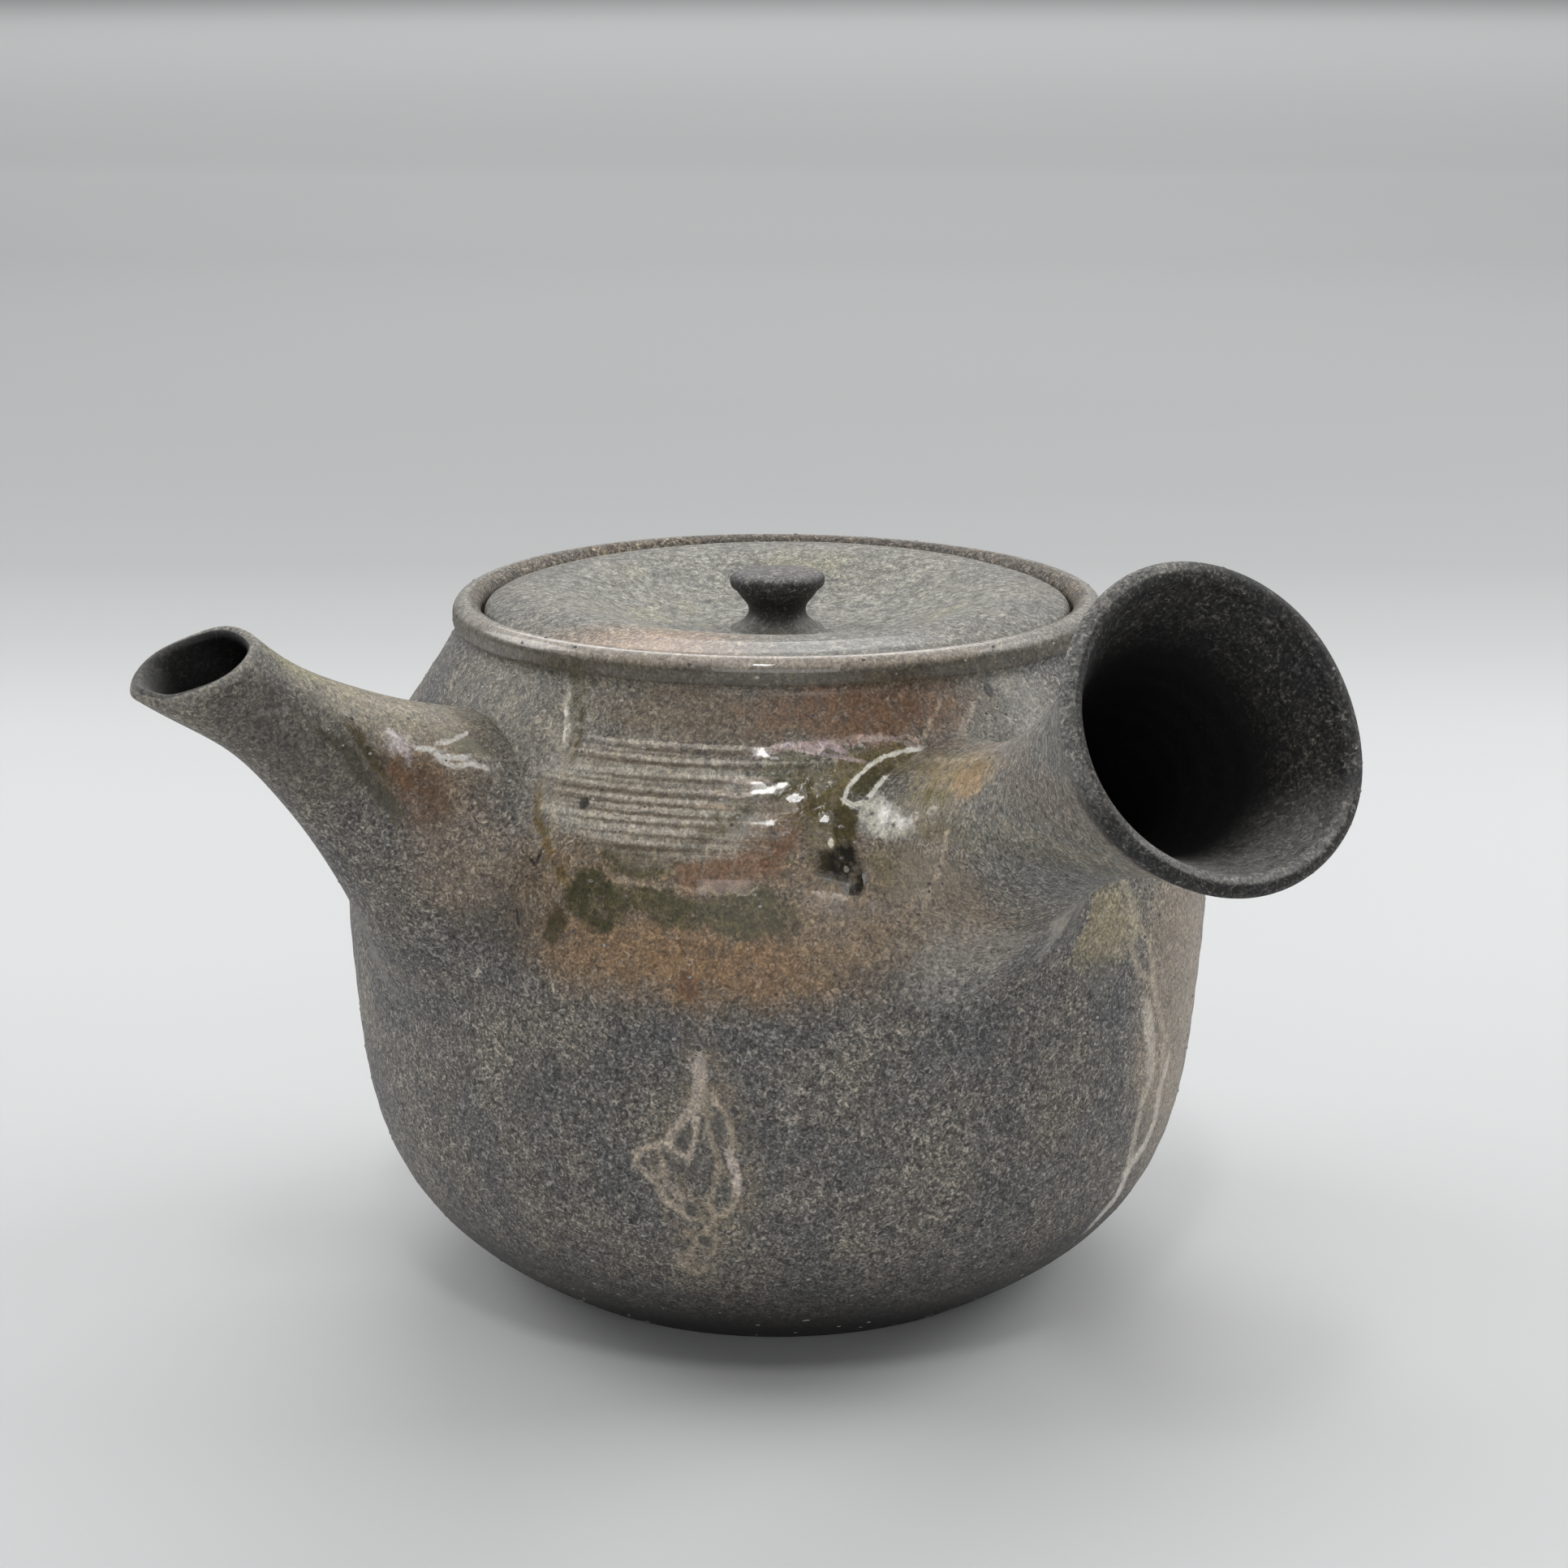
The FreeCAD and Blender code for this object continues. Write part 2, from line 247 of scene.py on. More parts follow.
def throwing_marks(bearing, height):
    """Low spiral that the fingers leave, and the slow swell of a wall that isn't quite round."""
    turns = height / spiral_pitch + bearing / math.tau
    spiral = np.sin(math.tau * turns + 1.2 * wander(bearing, height, 3))
    fade = smooth_between(2, 12, height) * smooth_between(76, 70, height)
    ridges = spiral_height * spiral * (0.75 + 0.25 * wander(bearing, height, 4))
    swell = swell_height * wander(bearing, height, 5, rise=(0.005, 0.02))
    return fade * (ridges + swell)


def comb_marks(bearing, height):
    """Grooves of the comb, each with a low ridge of the clay that it pushed aside."""
    degrees = np.degrees(bearing)
    relief = 0
    for level, depth, start, end in zip(groove_heights, groove_depths, groove_starts, groove_ends):
        begun = smooth_between(start - groove_fade, start + groove_fade, degrees)
        ended = smooth_between(end + groove_fade, end - groove_fade, degrees)
        away = height - level - groove_drift * wander(bearing, level, 6)
        groove = bump_at(away, groove_width)
        ridge = bump_at(away - 2 * groove_width, groove_width) / 2
        relief = relief + depth * begun * ended * (ridge - groove)
    return relief


def pooled_glaze(bearing, height):
    """Thickness of the glaze where it ran together."""
    relief = 0
    for middle, level, half_width, half_height, thickness in glaze_pools:
        along = (bearing - math.radians(middle)) * wall_radius(level)
        away = np.hypot(along / half_width, (height - level) / half_height)
        relief = relief + thickness * smooth_between(1.25, 0.75, away)
    return relief


def wall_relief(bearing, height):
    """How far the real wall stands out from its turned outline."""
    marks = (throwing_marks, comb_marks, pooled_glaze)
    return sum(mark(bearing, height) for mark in marks)


print(f"wall outline is {wall_line[-1, 1]:.1f} mm high and {2 * wall_line[:, 0].max():.1f} mm across")

# %% [markdown]
# The body's skin goes once round the whole section: under the foot, up the wall, over the rim, down
# the seat and back along the inside to the floor. One closed skin leaves no seam at the rim, where a
# separate lining would show one. Its rings lie close together at the comb marks, which are only a
# third of a millimetre wide, and further apart where the wall is plain.

# %% Body skin
body_columns = 336
comb_zone = (59.0, 70.5)
fine_step = 0.3
coarse_step = 0.85
rim_wave = 0.12
lip_centre, lip_radius = (35.2, 77.2), 1.6


def stepped(line, zone, fine, coarse):
    """Points of a line, close together inside a zone of heights and further apart outside it."""
    lengths = np.r_[0, np.cumsum(np.linalg.norm(np.diff(line, axis=0), axis=1))]
    inside = (line[:, 1] > zone[0]) & (line[:, 1] < zone[1])
    density = np.where(inside, 1 / fine, 1 / coarse)
    counted = np.r_[0, np.cumsum(np.diff(lengths) * density[1:])]
    places = np.linspace(0, counted[-1], int(counted[-1]) + 1)
    return np.c_[np.interp(places, counted, line[:, 0]), np.interp(places, counted, line[:, 1])]


rim_outline = [(36.3, 75.2), (36.35, 75.55), (36.7, 76.0), (36.8, 76.5), (36.8, 77.2)]
seat_outline = [
    straight((33.6, 77.0), (33.55, 75.1), 6), straight((33.4, 75.0), (30.3, 75.0), 6),
    straight((30.0, 74.8), (30.0, 71.8), 5), straight((30.3, 71.6), (32.9, 71.6), 4),
]
inner_outline = [
    (33.1, 71.4), (34.45, 69.5), (39.5, 62.8), (43.0, 58.0), (46.1, 47.0), (45.65, 35.8),
    (44.5, 26.2), (41.4, 17.5), (36.5, 11.5), (25.8, 4.5), (12.0, 4.3), (0.4, 4.3),
]
foot_outline = [
    (0.4, 0.55), (12.0, 0.55), (21.0, 0.5), (22.4, 0.1), (23.0, 0.0), (27.8, 0.0), (28.7, 0.12),
]
foot_points = 8    # of the wall line, which the foot's outline takes the place of


def turned_rings(outline, columns):
    """Rings of an outline of radius and height, round the pot's axis."""
    bearings = np.arange(columns) * math.tau / columns
    level = np.sin(bearings)[:, None] * to_right + np.cos(bearings)[:, None] * to_camera
    rings = outline[:, 0, None, None] * level[None, :, :]
    rings[:, :, 2] += outline[:, 1, None]
    return rings, bearings


def make_body_skin():
    wall = stepped(wall_line[foot_points:], comb_zone, fine_step, coarse_step)
    rim = curve_through(rim_outline, 9)[1:]
    lip = arc_points(lip_centre, lip_radius, 0, 180, 15)[1:]
    parts = [np.array(foot_outline), wall, rim, lip] + seat_outline + [curve_through(inner_outline, 60)]
    outline = np.vstack(parts)
    rings, bearings = turned_rings(outline, body_columns)
    first = len(foot_outline)
    for row in range(first, first + len(wall)):
        height = np.full(body_columns, outline[row, 1])
        push = wall_relief(bearings, height) / outline[row, 0]
        rings[row, :, :2] *= (1 + push)[:, None]
    top = first + len(wall)
    wave = rim_wave * wander(bearings, np.zeros(body_columns), 8, around=(1, 4))
    rings[top:top + len(rim) + len(lip), :, 2] += wave
    inside = np.zeros(len(outline))
    inside[top + len(rim) + len(lip) // 2:] = 1
    return skin("body_skin", rings, inside=inside)


body = make_body_skin()

# %% [markdown]
# Spout and handle are thrown apart and luted on, and the potter works clay over the joint until the
# horn seems to grow from the wall. Two meshes that merely cross would show a hard line there. So each
# horn is laid out in strips along its axis: every strip leaves the horn, bends, and lands on the wall
# along the wall's own slope. The landing is found by walking down each strip until it meets the pot.

# %% Horns that grow out of the wall
horn_root = (46.2, 59.7)
landing_row_count = 16
landing_sink = 0.12
tail_sink = 0.45
search_start = 0.7    # of a horn's length, well outside the wall
lip_fullness = 0.45   # 0.5 would be a half circle


def bearing_to_level(from_spout):
    """Level direction, turned from the spout towards the handle."""
    angle = math.radians(from_spout)
    return np.array([-math.cos(angle), -math.sin(angle), 0.0])


class Horn:
    """A round horn on a straight axis, with its outline given along that axis."""

    def __init__(self, from_spout, rise, length, outline):
        level = bearing_to_level(from_spout)
        climb = math.radians(rise)
        self.axis = level * math.cos(climb) + np.array([0, 0, math.sin(climb)])
        self.up = np.array([0, 0, math.cos(climb)]) - level * math.sin(climb)
        self.side = np.cross(self.axis, self.up)
        self.root = level * horn_root[0] + np.array([0, 0, horn_root[1]])
        self.length = length
        self.outline = curve_through(outline, 500)

    def radius(self, along):
        return np.interp(along, self.outline[:, 0], self.outline[:, 1])

    def outward(self, turn):
        """Directions away from the axis, by turn from its upper side."""
        return np.cos(turn)[..., None] * self.up + np.sin(turn)[..., None] * self.side

    def point(self, along, radius, turn):
        """Points by distance along the axis, distance from it, and turn from its upper side."""
        return self.root + along[..., None] * self.axis + radius[..., None] * self.outward(turn)


def depth_in_wall(points):
    """How far points lie inside the pot's outer wall, measured level."""
    bearing = facing(points)
    height = points[..., 2]
    return wall_radius(height) + wall_relief(bearing, height) - np.hypot(points[..., 0], points[..., 1])


def on_wall(points, sink):
    """Points moved level until they lie just under the wall's outer face."""
    gap = depth_in_wall(points) - sink
    distance = np.hypot(points[..., 0], points[..., 1])
    moved = points.copy()
    moved[..., :2] *= (1 + gap / distance)[..., None]
    return moved


def meets_wall(horn, radius_of, turn):
    """Distance along the axis at which each strip of a horn enters the wall."""
    along = np.linspace(search_start * horn.length, -horn.length, 700)
    grid = np.broadcast_to(along, (len(turn), len(along)))
    points = horn.point(grid, radius_of(grid), np.broadcast_to(turn[:, None], grid.shape))
    inside = depth_in_wall(points) > 0
    return along[np.argmax(inside, axis=1)]


def strip_direction(horn, radius_of, along, turn):
    step = 0.05
    ahead = horn.point(along - step, radius_of(along - step), turn)
    return (ahead - horn.point(along, radius_of(along), turn)) / step


def landing_rows(horn, turn, before, beyond):
    """Rows of points that leave the horn before the wall and land on it a little beyond."""
    meeting = meets_wall(horn, horn.radius, turn)
    start_along = meeting + before
    start = horn.point(start_along, horn.radius(start_along), turn)
    leaving = strip_direction(horn, horn.radius, start_along, turn)
    leaving /= np.linalg.norm(leaving, axis=1)[:, None]
    crossing = horn.point(meeting, horn.radius(meeting), turn)
    outward = crossing - start
    outward /= np.linalg.norm(outward, axis=1)[:, None]
    probe = on_wall(crossing + outward * beyond, landing_sink)
    near = on_wall(crossing + outward * beyond * 0.8, landing_sink)
    arriving = probe - near
    arriving /= np.linalg.norm(arriving, axis=1)[:, None]
    reach = np.linalg.norm(probe - start, axis=1)[:, None]
    found = []
    for share in np.linspace(0, 1, landing_row_count):
        staying = 2 * share ** 3 - 3 * share ** 2 + 1
        from_start = (share ** 3 - 2 * share ** 2 + share) * reach * leaving
        to_end = (share ** 3 - share ** 2) * reach * arriving
        found.append(staying * start + from_start + (1 - staying) * probe + to_end)
    tail = on_wall(probe + arriving * 0.5, tail_sink)
    return start_along, found, tail


def up_outside(horn, turn, start_along, mouth, count):
    """Rows from the landing to the mouth."""
    found = []
    for share in np.linspace(0, 1, count)[1:]:
        along = start_along + share * (mouth - start_along)
        found.append(horn.point(along, horn.radius(along), turn))
    return found


def over_lip(horn, turn, mouth, thick, count):
    """Rows that roll over the lip, from the outside to the bore."""
    middle = horn.radius(mouth) - thick / 2
    found = []
    for angle in np.linspace(0, math.pi, count)[1:]:
        bulge = np.sin(angle) * thick * lip_fullness
        found.append(horn.point(mouth + bulge, middle + np.cos(angle) * thick / 2, turn))
    return found


def down_bore(horn, turn, mouth, wall_of, count):
    """Rows from the mouth to where the bore meets the pot."""

    def bore(along):
        return horn.radius(along) - wall_of(along)

    end = meets_wall(horn, bore, turn)
    found = []
    for share in np.linspace(0, 1, count)[1:]:
        along = mouth + share * (end - mouth)
        found.append(horn.point(along, bore(along), turn))
    return found


def horn_rings(horn, columns, mouth_along, wall_of, before, beyond, lip_rows, outer_rows, inner_rows):
    """Rings from the wall, up the outside, over the lip and down the bore, for one joined skin.
    The marks tell the finish which rings are inside, on the lip, or run out into the wall."""
    turn = np.arange(columns) * math.tau / columns
    start_along, landing, tail = landing_rows(horn, turn, before, beyond)
    mouth = mouth_along(turn)
    rings = [tail] + landing[::-1]
    rings += up_outside(horn, turn, start_along, mouth, outer_rows)
    rings += over_lip(horn, turn, mouth, wall_of(mouth), lip_rows)
    rings += down_bore(horn, turn, mouth, wall_of, inner_rows)
    inside = np.zeros(len(rings))
    inside[-(inner_rows - 1) - lip_rows // 2:] = 1
    joint = smooth_between(len(landing) + 7, 4, np.arange(len(rings)))
    lip = np.zeros(len(rings))
    lip[len(landing) + outer_rows - 1:-(inner_rows - 1)] = 1
    return np.array(rings), turn, {"inside": inside, "joint": joint, "lip": lip}


# %% [markdown]
# The spout is a straight horn with its mouth cut aslant, so that the lower lip reaches further and
# cuts the stream. A Boolean cut would leave a sharp, plain edge, so the mouth's slant, its small beak
# and its unevenness are one formula of the turn about the axis, and the thin lip rolls over it.

# %% Spout skin
spout_length = 32.7
spout_rise = 37.1
spout_cut = math.radians(26.7)
spout_mouth_radius = 5.9
spout_columns = 160
first_free_row = 20    # of a horn's rings, above those that lie on the wall
spout_outline = [
    (-19.0, 23.4), (-15.7, 21.5), (-11.8, 19.3), (-5.9, 16.0), (0.0, 12.95), (5.2, 10.7), (10.3, 8.8),
    (16.35, 7.03), (21.0, 6.0), (24.5, 5.6), (28.5, 5.7), (32.7, 6.05), (38.0, 6.3),
]
spout = Horn(0, spout_rise, spout_length, spout_outline)


def spout_wall(along):
    away = np.clip(1 - along / spout_length, 0, 2)
    return 1.5 + 1.7 * away * away


def spout_mouth(turn):
    """The slanted cut, with a small beak at the lower lip."""
    beak = 0.9 * bump_at(np.abs(turn - math.pi), 0.35)
    uneven = 0.12 * np.sin(3 * turn + 0.7) + 0.08 * np.sin(5 * turn)
    skew = 1.0 * np.sin(turn)
    slant = spout_mouth_radius * np.cos(turn) * math.tan(spout_cut)
    return spout_length - slant + skew + beak + uneven


def make_spout_skin():
    counts = {"lip_rows": 12, "outer_rows": 54, "inner_rows": 60}
    rings, turn, marks = horn_rings(spout, spout_columns, spout_mouth, spout_wall, 4.0, 3.0, **counts)
    shake = 0.1 * wander(turn, np.zeros_like(turn), 21, around=(2, 6))
    rings[first_free_row:-1] += shake[:, None] * spout.outward(turn)
    return skin("spout_skin", rings, joined=True, **marks)


spout_skin = make_spout_skin()

# %% [markdown]
# The handle is a trumpet with a rounded lip, hollow to the wall, which keeps it cool. It is thrown
# like a small vase, so it has fine throwing ridges of its own, which a plain lathe shape would lack.

# %% Handle skin
handle_columns = 224
handle_from_spout = 82.0
handle_rise = 28.4
handle_length = 44.2
handle_ridge_pitch = 2.9
handle_outline = [
    (-14.0, 20.8), (-8.84, 16.95), (-4.42, 14.1), (0.0, 11.85), (4.42, 10.25), (8.84, 9.2), (13.0, 8.6),
    (17.0, 8.4), (23.4, 9.01), (30.1, 10.38), (36.2, 12.28), (41.1, 14.48), (44.2, 16.0), (46.0, 16.9),
]
handle = Horn(handle_from_spout, handle_rise, handle_length, handle_outline)


def handle_wall(along):
    away = np.clip(1 - along / handle_length, 0, 2)
    return 2.2 + 1.2 * away * away


def handle_mouth(turn):
    return handle_length + 0.1 * np.sin(2 * turn + 1.0) + 0.06 * np.sin(5 * turn)


def make_handle_skin():
    counts = {"lip_rows": 14, "outer_rows": 70, "inner_rows": 70}
    rings, turn, marks = horn_rings(handle, handle_columns, handle_mouth, handle_wall, 4.0, 3.2, **counts)
    for row in range(first_free_row, len(rings) - 1):
        along = (rings[row] - handle.root) @ handle.axis
        ridge = 0.03 * np.sin(math.tau * along / handle_ridge_pitch + turn)
        shake = 0.08 * wander(turn, along, 31, around=(1, 5))
        rings[row] += (ridge + shake)[:, None] * handle.outward(turn)
    return skin("handle_skin", rings, joined=True, **marks)


handle_skin = make_handle_skin()

# %% [markdown]
# The lid is a dished disc with a soft crest, a collar below, and a small mushroom knob. Disc and knob
# are turned, so they use the same rings as the body, with their own gentle wander. The vent and the
# pour hole are cut with a Boolean, because a round hole crosses the rings and no row could follow it.

# %% Lid and knob
lid_columns = 256
lid_top = [
    (0.4, 74.6), (4.7, 74.6), (11.4, 75.15), (18.1, 76.9), (23.7, 78.74), (27.0, 79.2), (30.5, 78.75),
    (32.3, 78.05),
]
lid_edge = [(32.85, 77.75), (33.2, 77.15), (33.25, 76.4), (33.25, 75.6), (33.1, 75.02)]
lid_flat = [(32.0, 75.0), (29.7, 75.0), (26.9, 75.0)]
lid_under = [(26.65, 75.0), (18.1, 73.9), (11.4, 72.15), (4.7, 71.6), (0.4, 71.6)]
lid_ridge_pitch = 2.6
vent_offset = 9.0
vent_radius = 1.2
vent_from_spout = 234.0
lid_settling = 0.02


def make_lid_skin():
    top = np.vstack([curve_through(lid_top, 90), curve_through(lid_edge, 10)])
    outline = np.vstack([top, lid_flat, curve_through(lid_under, 30)])
    rings, bearings = turned_rings(outline, lid_columns)
    for row, radius in enumerate(top[:, 0]):
        slow = 0.10 * wander(bearings, np.full(lid_columns, radius), 41, around=(1, 4), rise=(0.01, 0.03))
        turning = 0.035 * math.sin(math.tau * radius / lid_ridge_pitch)
        share = smooth_between(1.0, 6.0, radius) * smooth_between(33.2, 31.0, radius)
        rings[row, :, 2] += share * (slow + turning) - lid_settling
    inside = np.zeros(len(outline))
    inside[len(top):] = 1
    return skin("lid_skin", rings, inside=inside)


def made_plain(piece):
    """Turns a piece and its modifiers into one plain mesh."""
    bpy.context.view_layer.update()
    evaluated = piece.evaluated_get(bpy.context.evaluated_depsgraph_get())
    mesh = bpy.data.meshes.new_from_object(evaluated)
    piece.modifiers.clear()
    old = piece.data
    piece.data = mesh
    bpy.data.meshes.remove(old)


def pierced(piece, place, radius, direction, length, sides=32):
    """Cuts a round hole through the piece, and leaves it a plain mesh."""
    drill_mesh = bpy.data.meshes.new("drill")
    work = bmesh.new()
    bmesh.ops.create_cone(
        work, cap_ends=True, segments=sides, radius1=radius * MM, radius2=radius * MM, depth=length * MM
    )
    turn = Vector(direction).to_track_quat("Z", "Y").to_matrix()
    bmesh.ops.rotate(work, matrix=turn, verts=work.verts)
    bmesh.ops.translate(work, vec=[v * MM for v in place], verts=work.verts)
    work.to_mesh(drill_mesh)
    work.free()
    drill = bpy.data.objects.new("drill", drill_mesh)
    bpy.context.scene.collection.objects.link(drill)
    cut = piece.modifiers.new("hole", "BOOLEAN")
    cut.operation = "DIFFERENCE"
    cut.solver = "EXACT"
    cut.object = drill
    made_plain(piece)
    bpy.data.objects.remove(drill)
    bpy.data.meshes.remove(drill_mesh)


pour_hole_radius = 8.5
pour_hole_length = 24.0
vent_length = 12.0
knob_columns = 128
knob_base = [(0.3, 74.3), (3.0, 74.3), (5.5, 74.35)]
knob_neck = [(5.6, 74.45), (4.6, 74.9), (3.9, 75.4), (3.3, 76.3), (3.4, 77.2), (4.1, 78.1), (4.75, 79.0)]
knob_cap = [
    (4.75, 79.0), (5.25, 79.35), (5.42, 79.95), (5.25, 80.55), (4.75, 80.85), (3.4, 81.08), (1.8, 81.2),
    (0.3, 81.25),
]


def make_knob_skin():
    outline = np.vstack([knob_base, curve_through(knob_neck, 34), curve_through(knob_cap, 34)[1:]])
    rings, bearings = turned_rings(outline, knob_columns)
    for row, (radius, height) in enumerate(outline):
        share = smooth_between(75.5, 79.0, height)
        pinch = 0.10 * wander(bearings, np.full(knob_columns, height), 51, around=(1, 4), rise=(0.02, 0.08))
        rings[row, :, :2] *= (1 + pinch * share / max(radius, 1.0))[:, None]
        rings[row, :, 2] += share * 0.10 * np.sin(bearings + 0.8)
    return skin("knob_skin", rings)


lid = make_lid_skin()
vent_place = bearing_to_level(vent_from_spout) * vent_offset + np.array([0, 0, 74.0])
pierced(lid, vent_place, vent_radius, (0, 0, 1), vent_length)
knob = make_knob_skin()
pierced(body, spout.root, pour_hole_radius, spout.axis, pour_hole_length, 64)

# %% [markdown]
# Ground clay looks gritty because pale feldspar and dark iron lie in it as grains. Shader maths is
# long when every node is placed by hand, so a small class wraps a socket, and plain arithmetic on it
# adds the Math nodes. Colours go through Mix and Vector Math, because a Math node would turn them grey.

# %% Shader arithmetic


def shade(red, green, blue):
    """Linear colour of a screen colour from 0 to 255."""
    return tuple(
        (v / 255 / 12.92) if v <= 10 else ((v / 255 + 0.055) / 1.055) ** 2.4 for v in (red, green, blue)
    ) + (1.0,)


class Signal:
    """A shader socket that Python's operators work on."""

    def __init__(self, finish, socket):
        self.finish = finish
        self.socket = socket

    def math(self, operation, *others):
        return self.finish.add("ShaderNodeMath", {"operation": operation}, [self] + list(others))

    def __add__(self, other):
        return self.math("ADD", other)

    __radd__ = __add__

    def __mul__(self, other):
        return self.math("MULTIPLY", other)

    __rmul__ = __mul__

    def __sub__(self, other):
        return self.math("SUBTRACT", other)

    def __rsub__(self, other):
        return self.finish.add("ShaderNodeMath", {"operation": "SUBTRACT"}, [other, self])

    def __truediv__(self, other):
        return self.math("DIVIDE", other)

    def __rtruediv__(self, other):
        return self.finish.add("ShaderNodeMath", {"operation": "DIVIDE"}, [other, self])

    def least(self, other):
        return self.math("MINIMUM", other)

    def most(self, other):
        return self.math("MAXIMUM", other)

    def between(self, low, high):
        """Smooth step from zero at low to one at high, also when low is the larger."""
        settings = {"interpolation_type": "SMOOTHSTEP", "clamp": False}
        if low > high:
            return 1 - self.between(high, low)
        return self.finish.add("ShaderNodeMapRange", settings, [self, low, high, 0.0, 1.0])


class Sheet:
    """A node tree under construction, with one method that adds any node."""

    def __init__(self, tree):
        self.tree = tree

    def add(self, kind, settings, values, output=0):
        """Adds a node: first its settings, then the values or links of its sockets."""
        node = self.tree.nodes.new(kind)
        stops = settings.get("stops")
        for key, value in settings.items():
            if key != "stops":
                setattr(node, key, value)
        if stops:
            ramp = node.color_ramp
            while len(ramp.elements) < len(stops):
                ramp.elements.new(0.5)
            for element, (place, colour) in zip(ramp.elements, stops):
                element.position = place
                element.color = colour
        pairs = values.items() if isinstance(values, dict) else enumerate(values)
        for key, value in pairs:
            self.feed(node.inputs[key], value)
        return Signal(self, node.outputs[output])

    def feed(self, socket, value):
        if isinstance(value, Signal):
            self.tree.links.new(value.socket, socket)
        else:
            socket.default_value = value

    def mix(self, share, first, second, blend="MIX"):
        """Colour mix. Inputs 6 and 7 and output 2 are the node's colour sockets."""
        settings = {"data_type": "RGBA", "blend_type": blend, "clamp_factor": True}
        return self.add("ShaderNodeMix", settings, {0: share, 6: first, 7: second}, 2)

    def length(self, vector):
        return self.add("ShaderNodeVectorMath", {"operation": "LENGTH"}, [vector], 1)


class Finish(Sheet):
    """A material under construction."""

    def __init__(self, name):
        self.material = bpy.data.materials.new(name)
        self.material.use_nodes = True
        super().__init__(self.material.node_tree)
        self.surface = self.tree.nodes["Principled BSDF"]

    def noise(self, vector, scale, detail=2.0, roughness=0.5, distortion=0.0, output=0):
        values = {"Vector": vector, "Scale": scale, "Detail": detail, "Roughness": roughness}
        values["Distortion"] = distortion
        return self.add("ShaderNodeTexNoise", {}, values, output)

    def ramp(self, value, stops):
        return self.add("ShaderNodeValToRGB", {"stops": stops}, [value])

    def set(self, **values):
        for name, value in values.items():
            self.feed(self.surface.inputs[name.replace("_", " ")], value)


# %% [markdown]
# More than a hundred marks lie on this pot. Each could be ten loose nodes, but Blender goes over a
# whole tree whenever a link is added, and that gets slow. Two node groups do the work of one mark: one
# measures how far a point is from an ellipse, and the other paints where that is near.

# %% Node groups for one mark


def make_group(name, inputs, outputs, kind_of_tree="ShaderNodeTree"):
    """Empty group with named sockets: a sheet for its inside, its given values, and its results."""
    tree = bpy.data.node_groups.new(name, kind_of_tree)
    for key, kind in inputs.items():
        tree.interface.new_socket(key, in_out="INPUT", socket_type="NodeSocket" + kind)
    for key, kind in outputs.items():
        tree.interface.new_socket(key, in_out="OUTPUT", socket_type="NodeSocket" + kind)
    sheet = Sheet(tree)
    given = tree.nodes.new("NodeGroupInput").outputs
    made = tree.nodes.new("NodeGroupOutput").inputs
    return sheet, {key: Signal(sheet, given[key]) for key in inputs}, made


def make_reach_group():
    """Distance from the middle of a tilted ellipse, in half widths, or an earlier one if that is less."""
    inputs = dict.fromkeys(("Field", "Location", "Rotation", "Scale"), "Vector")
    inputs["Away"] = "Float"
    sheet, given, made = make_group("reach_of_mark", inputs, {"Away": "Float"})
    away = given.pop("Away")
    given["Vector"] = given.pop("Field")
    local = sheet.add("ShaderNodeMapping", {"vector_type": "TEXTURE"}, given)
    sheet.feed(made["Away"], sheet.length(local).least(away))
    return sheet.tree


def make_paint_group():
    """Lays a tint over a colour where the distance is small, and makes the surface glassy there."""
    inputs = {
        "Away": "Float", "Inner": "Float", "Outer": "Float", "Wear": "Float", "Tint": "Color",
        "Cover": "Float", "Glass": "Float", "Colour": "Color", "Wet": "Float",
    }
    sheet, given, made = make_group("paint_of_mark", inputs, {"Colour": "Color", "Wet": "Float"})
    settings = {"interpolation_type": "SMOOTHSTEP", "clamp": False}
    edges = [given["Away"], given["Inner"], given["Outer"], 1.0, 0.0]
    mask = sheet.add("ShaderNodeMapRange", settings, edges) * given["Wear"]
    sheet.feed(made["Colour"], sheet.mix(mask * given["Cover"], given["Colour"], given["Tint"]))
    sheet.feed(made["Wet"], given["Wet"].most(mask * given["Glass"]))
    return sheet.tree


reach_group = make_reach_group()
paint_group = make_paint_group()

# %% [markdown]
# The pot's surface is read in millimetres. Unrolled, it has a place along the wall and a height, like
# a label peeled off a jar, and a stain is a soft ellipse on that label. Its edge is broken up by
# noise, because ash melts and runs where the clay lets it. The same fields are used on body, spout
# and handle, so a stain runs on across a joint as it does on the fired pot.

# %% The unrolled surface
unroll_radius = 47.0
horn_unroll_radius = 8.0


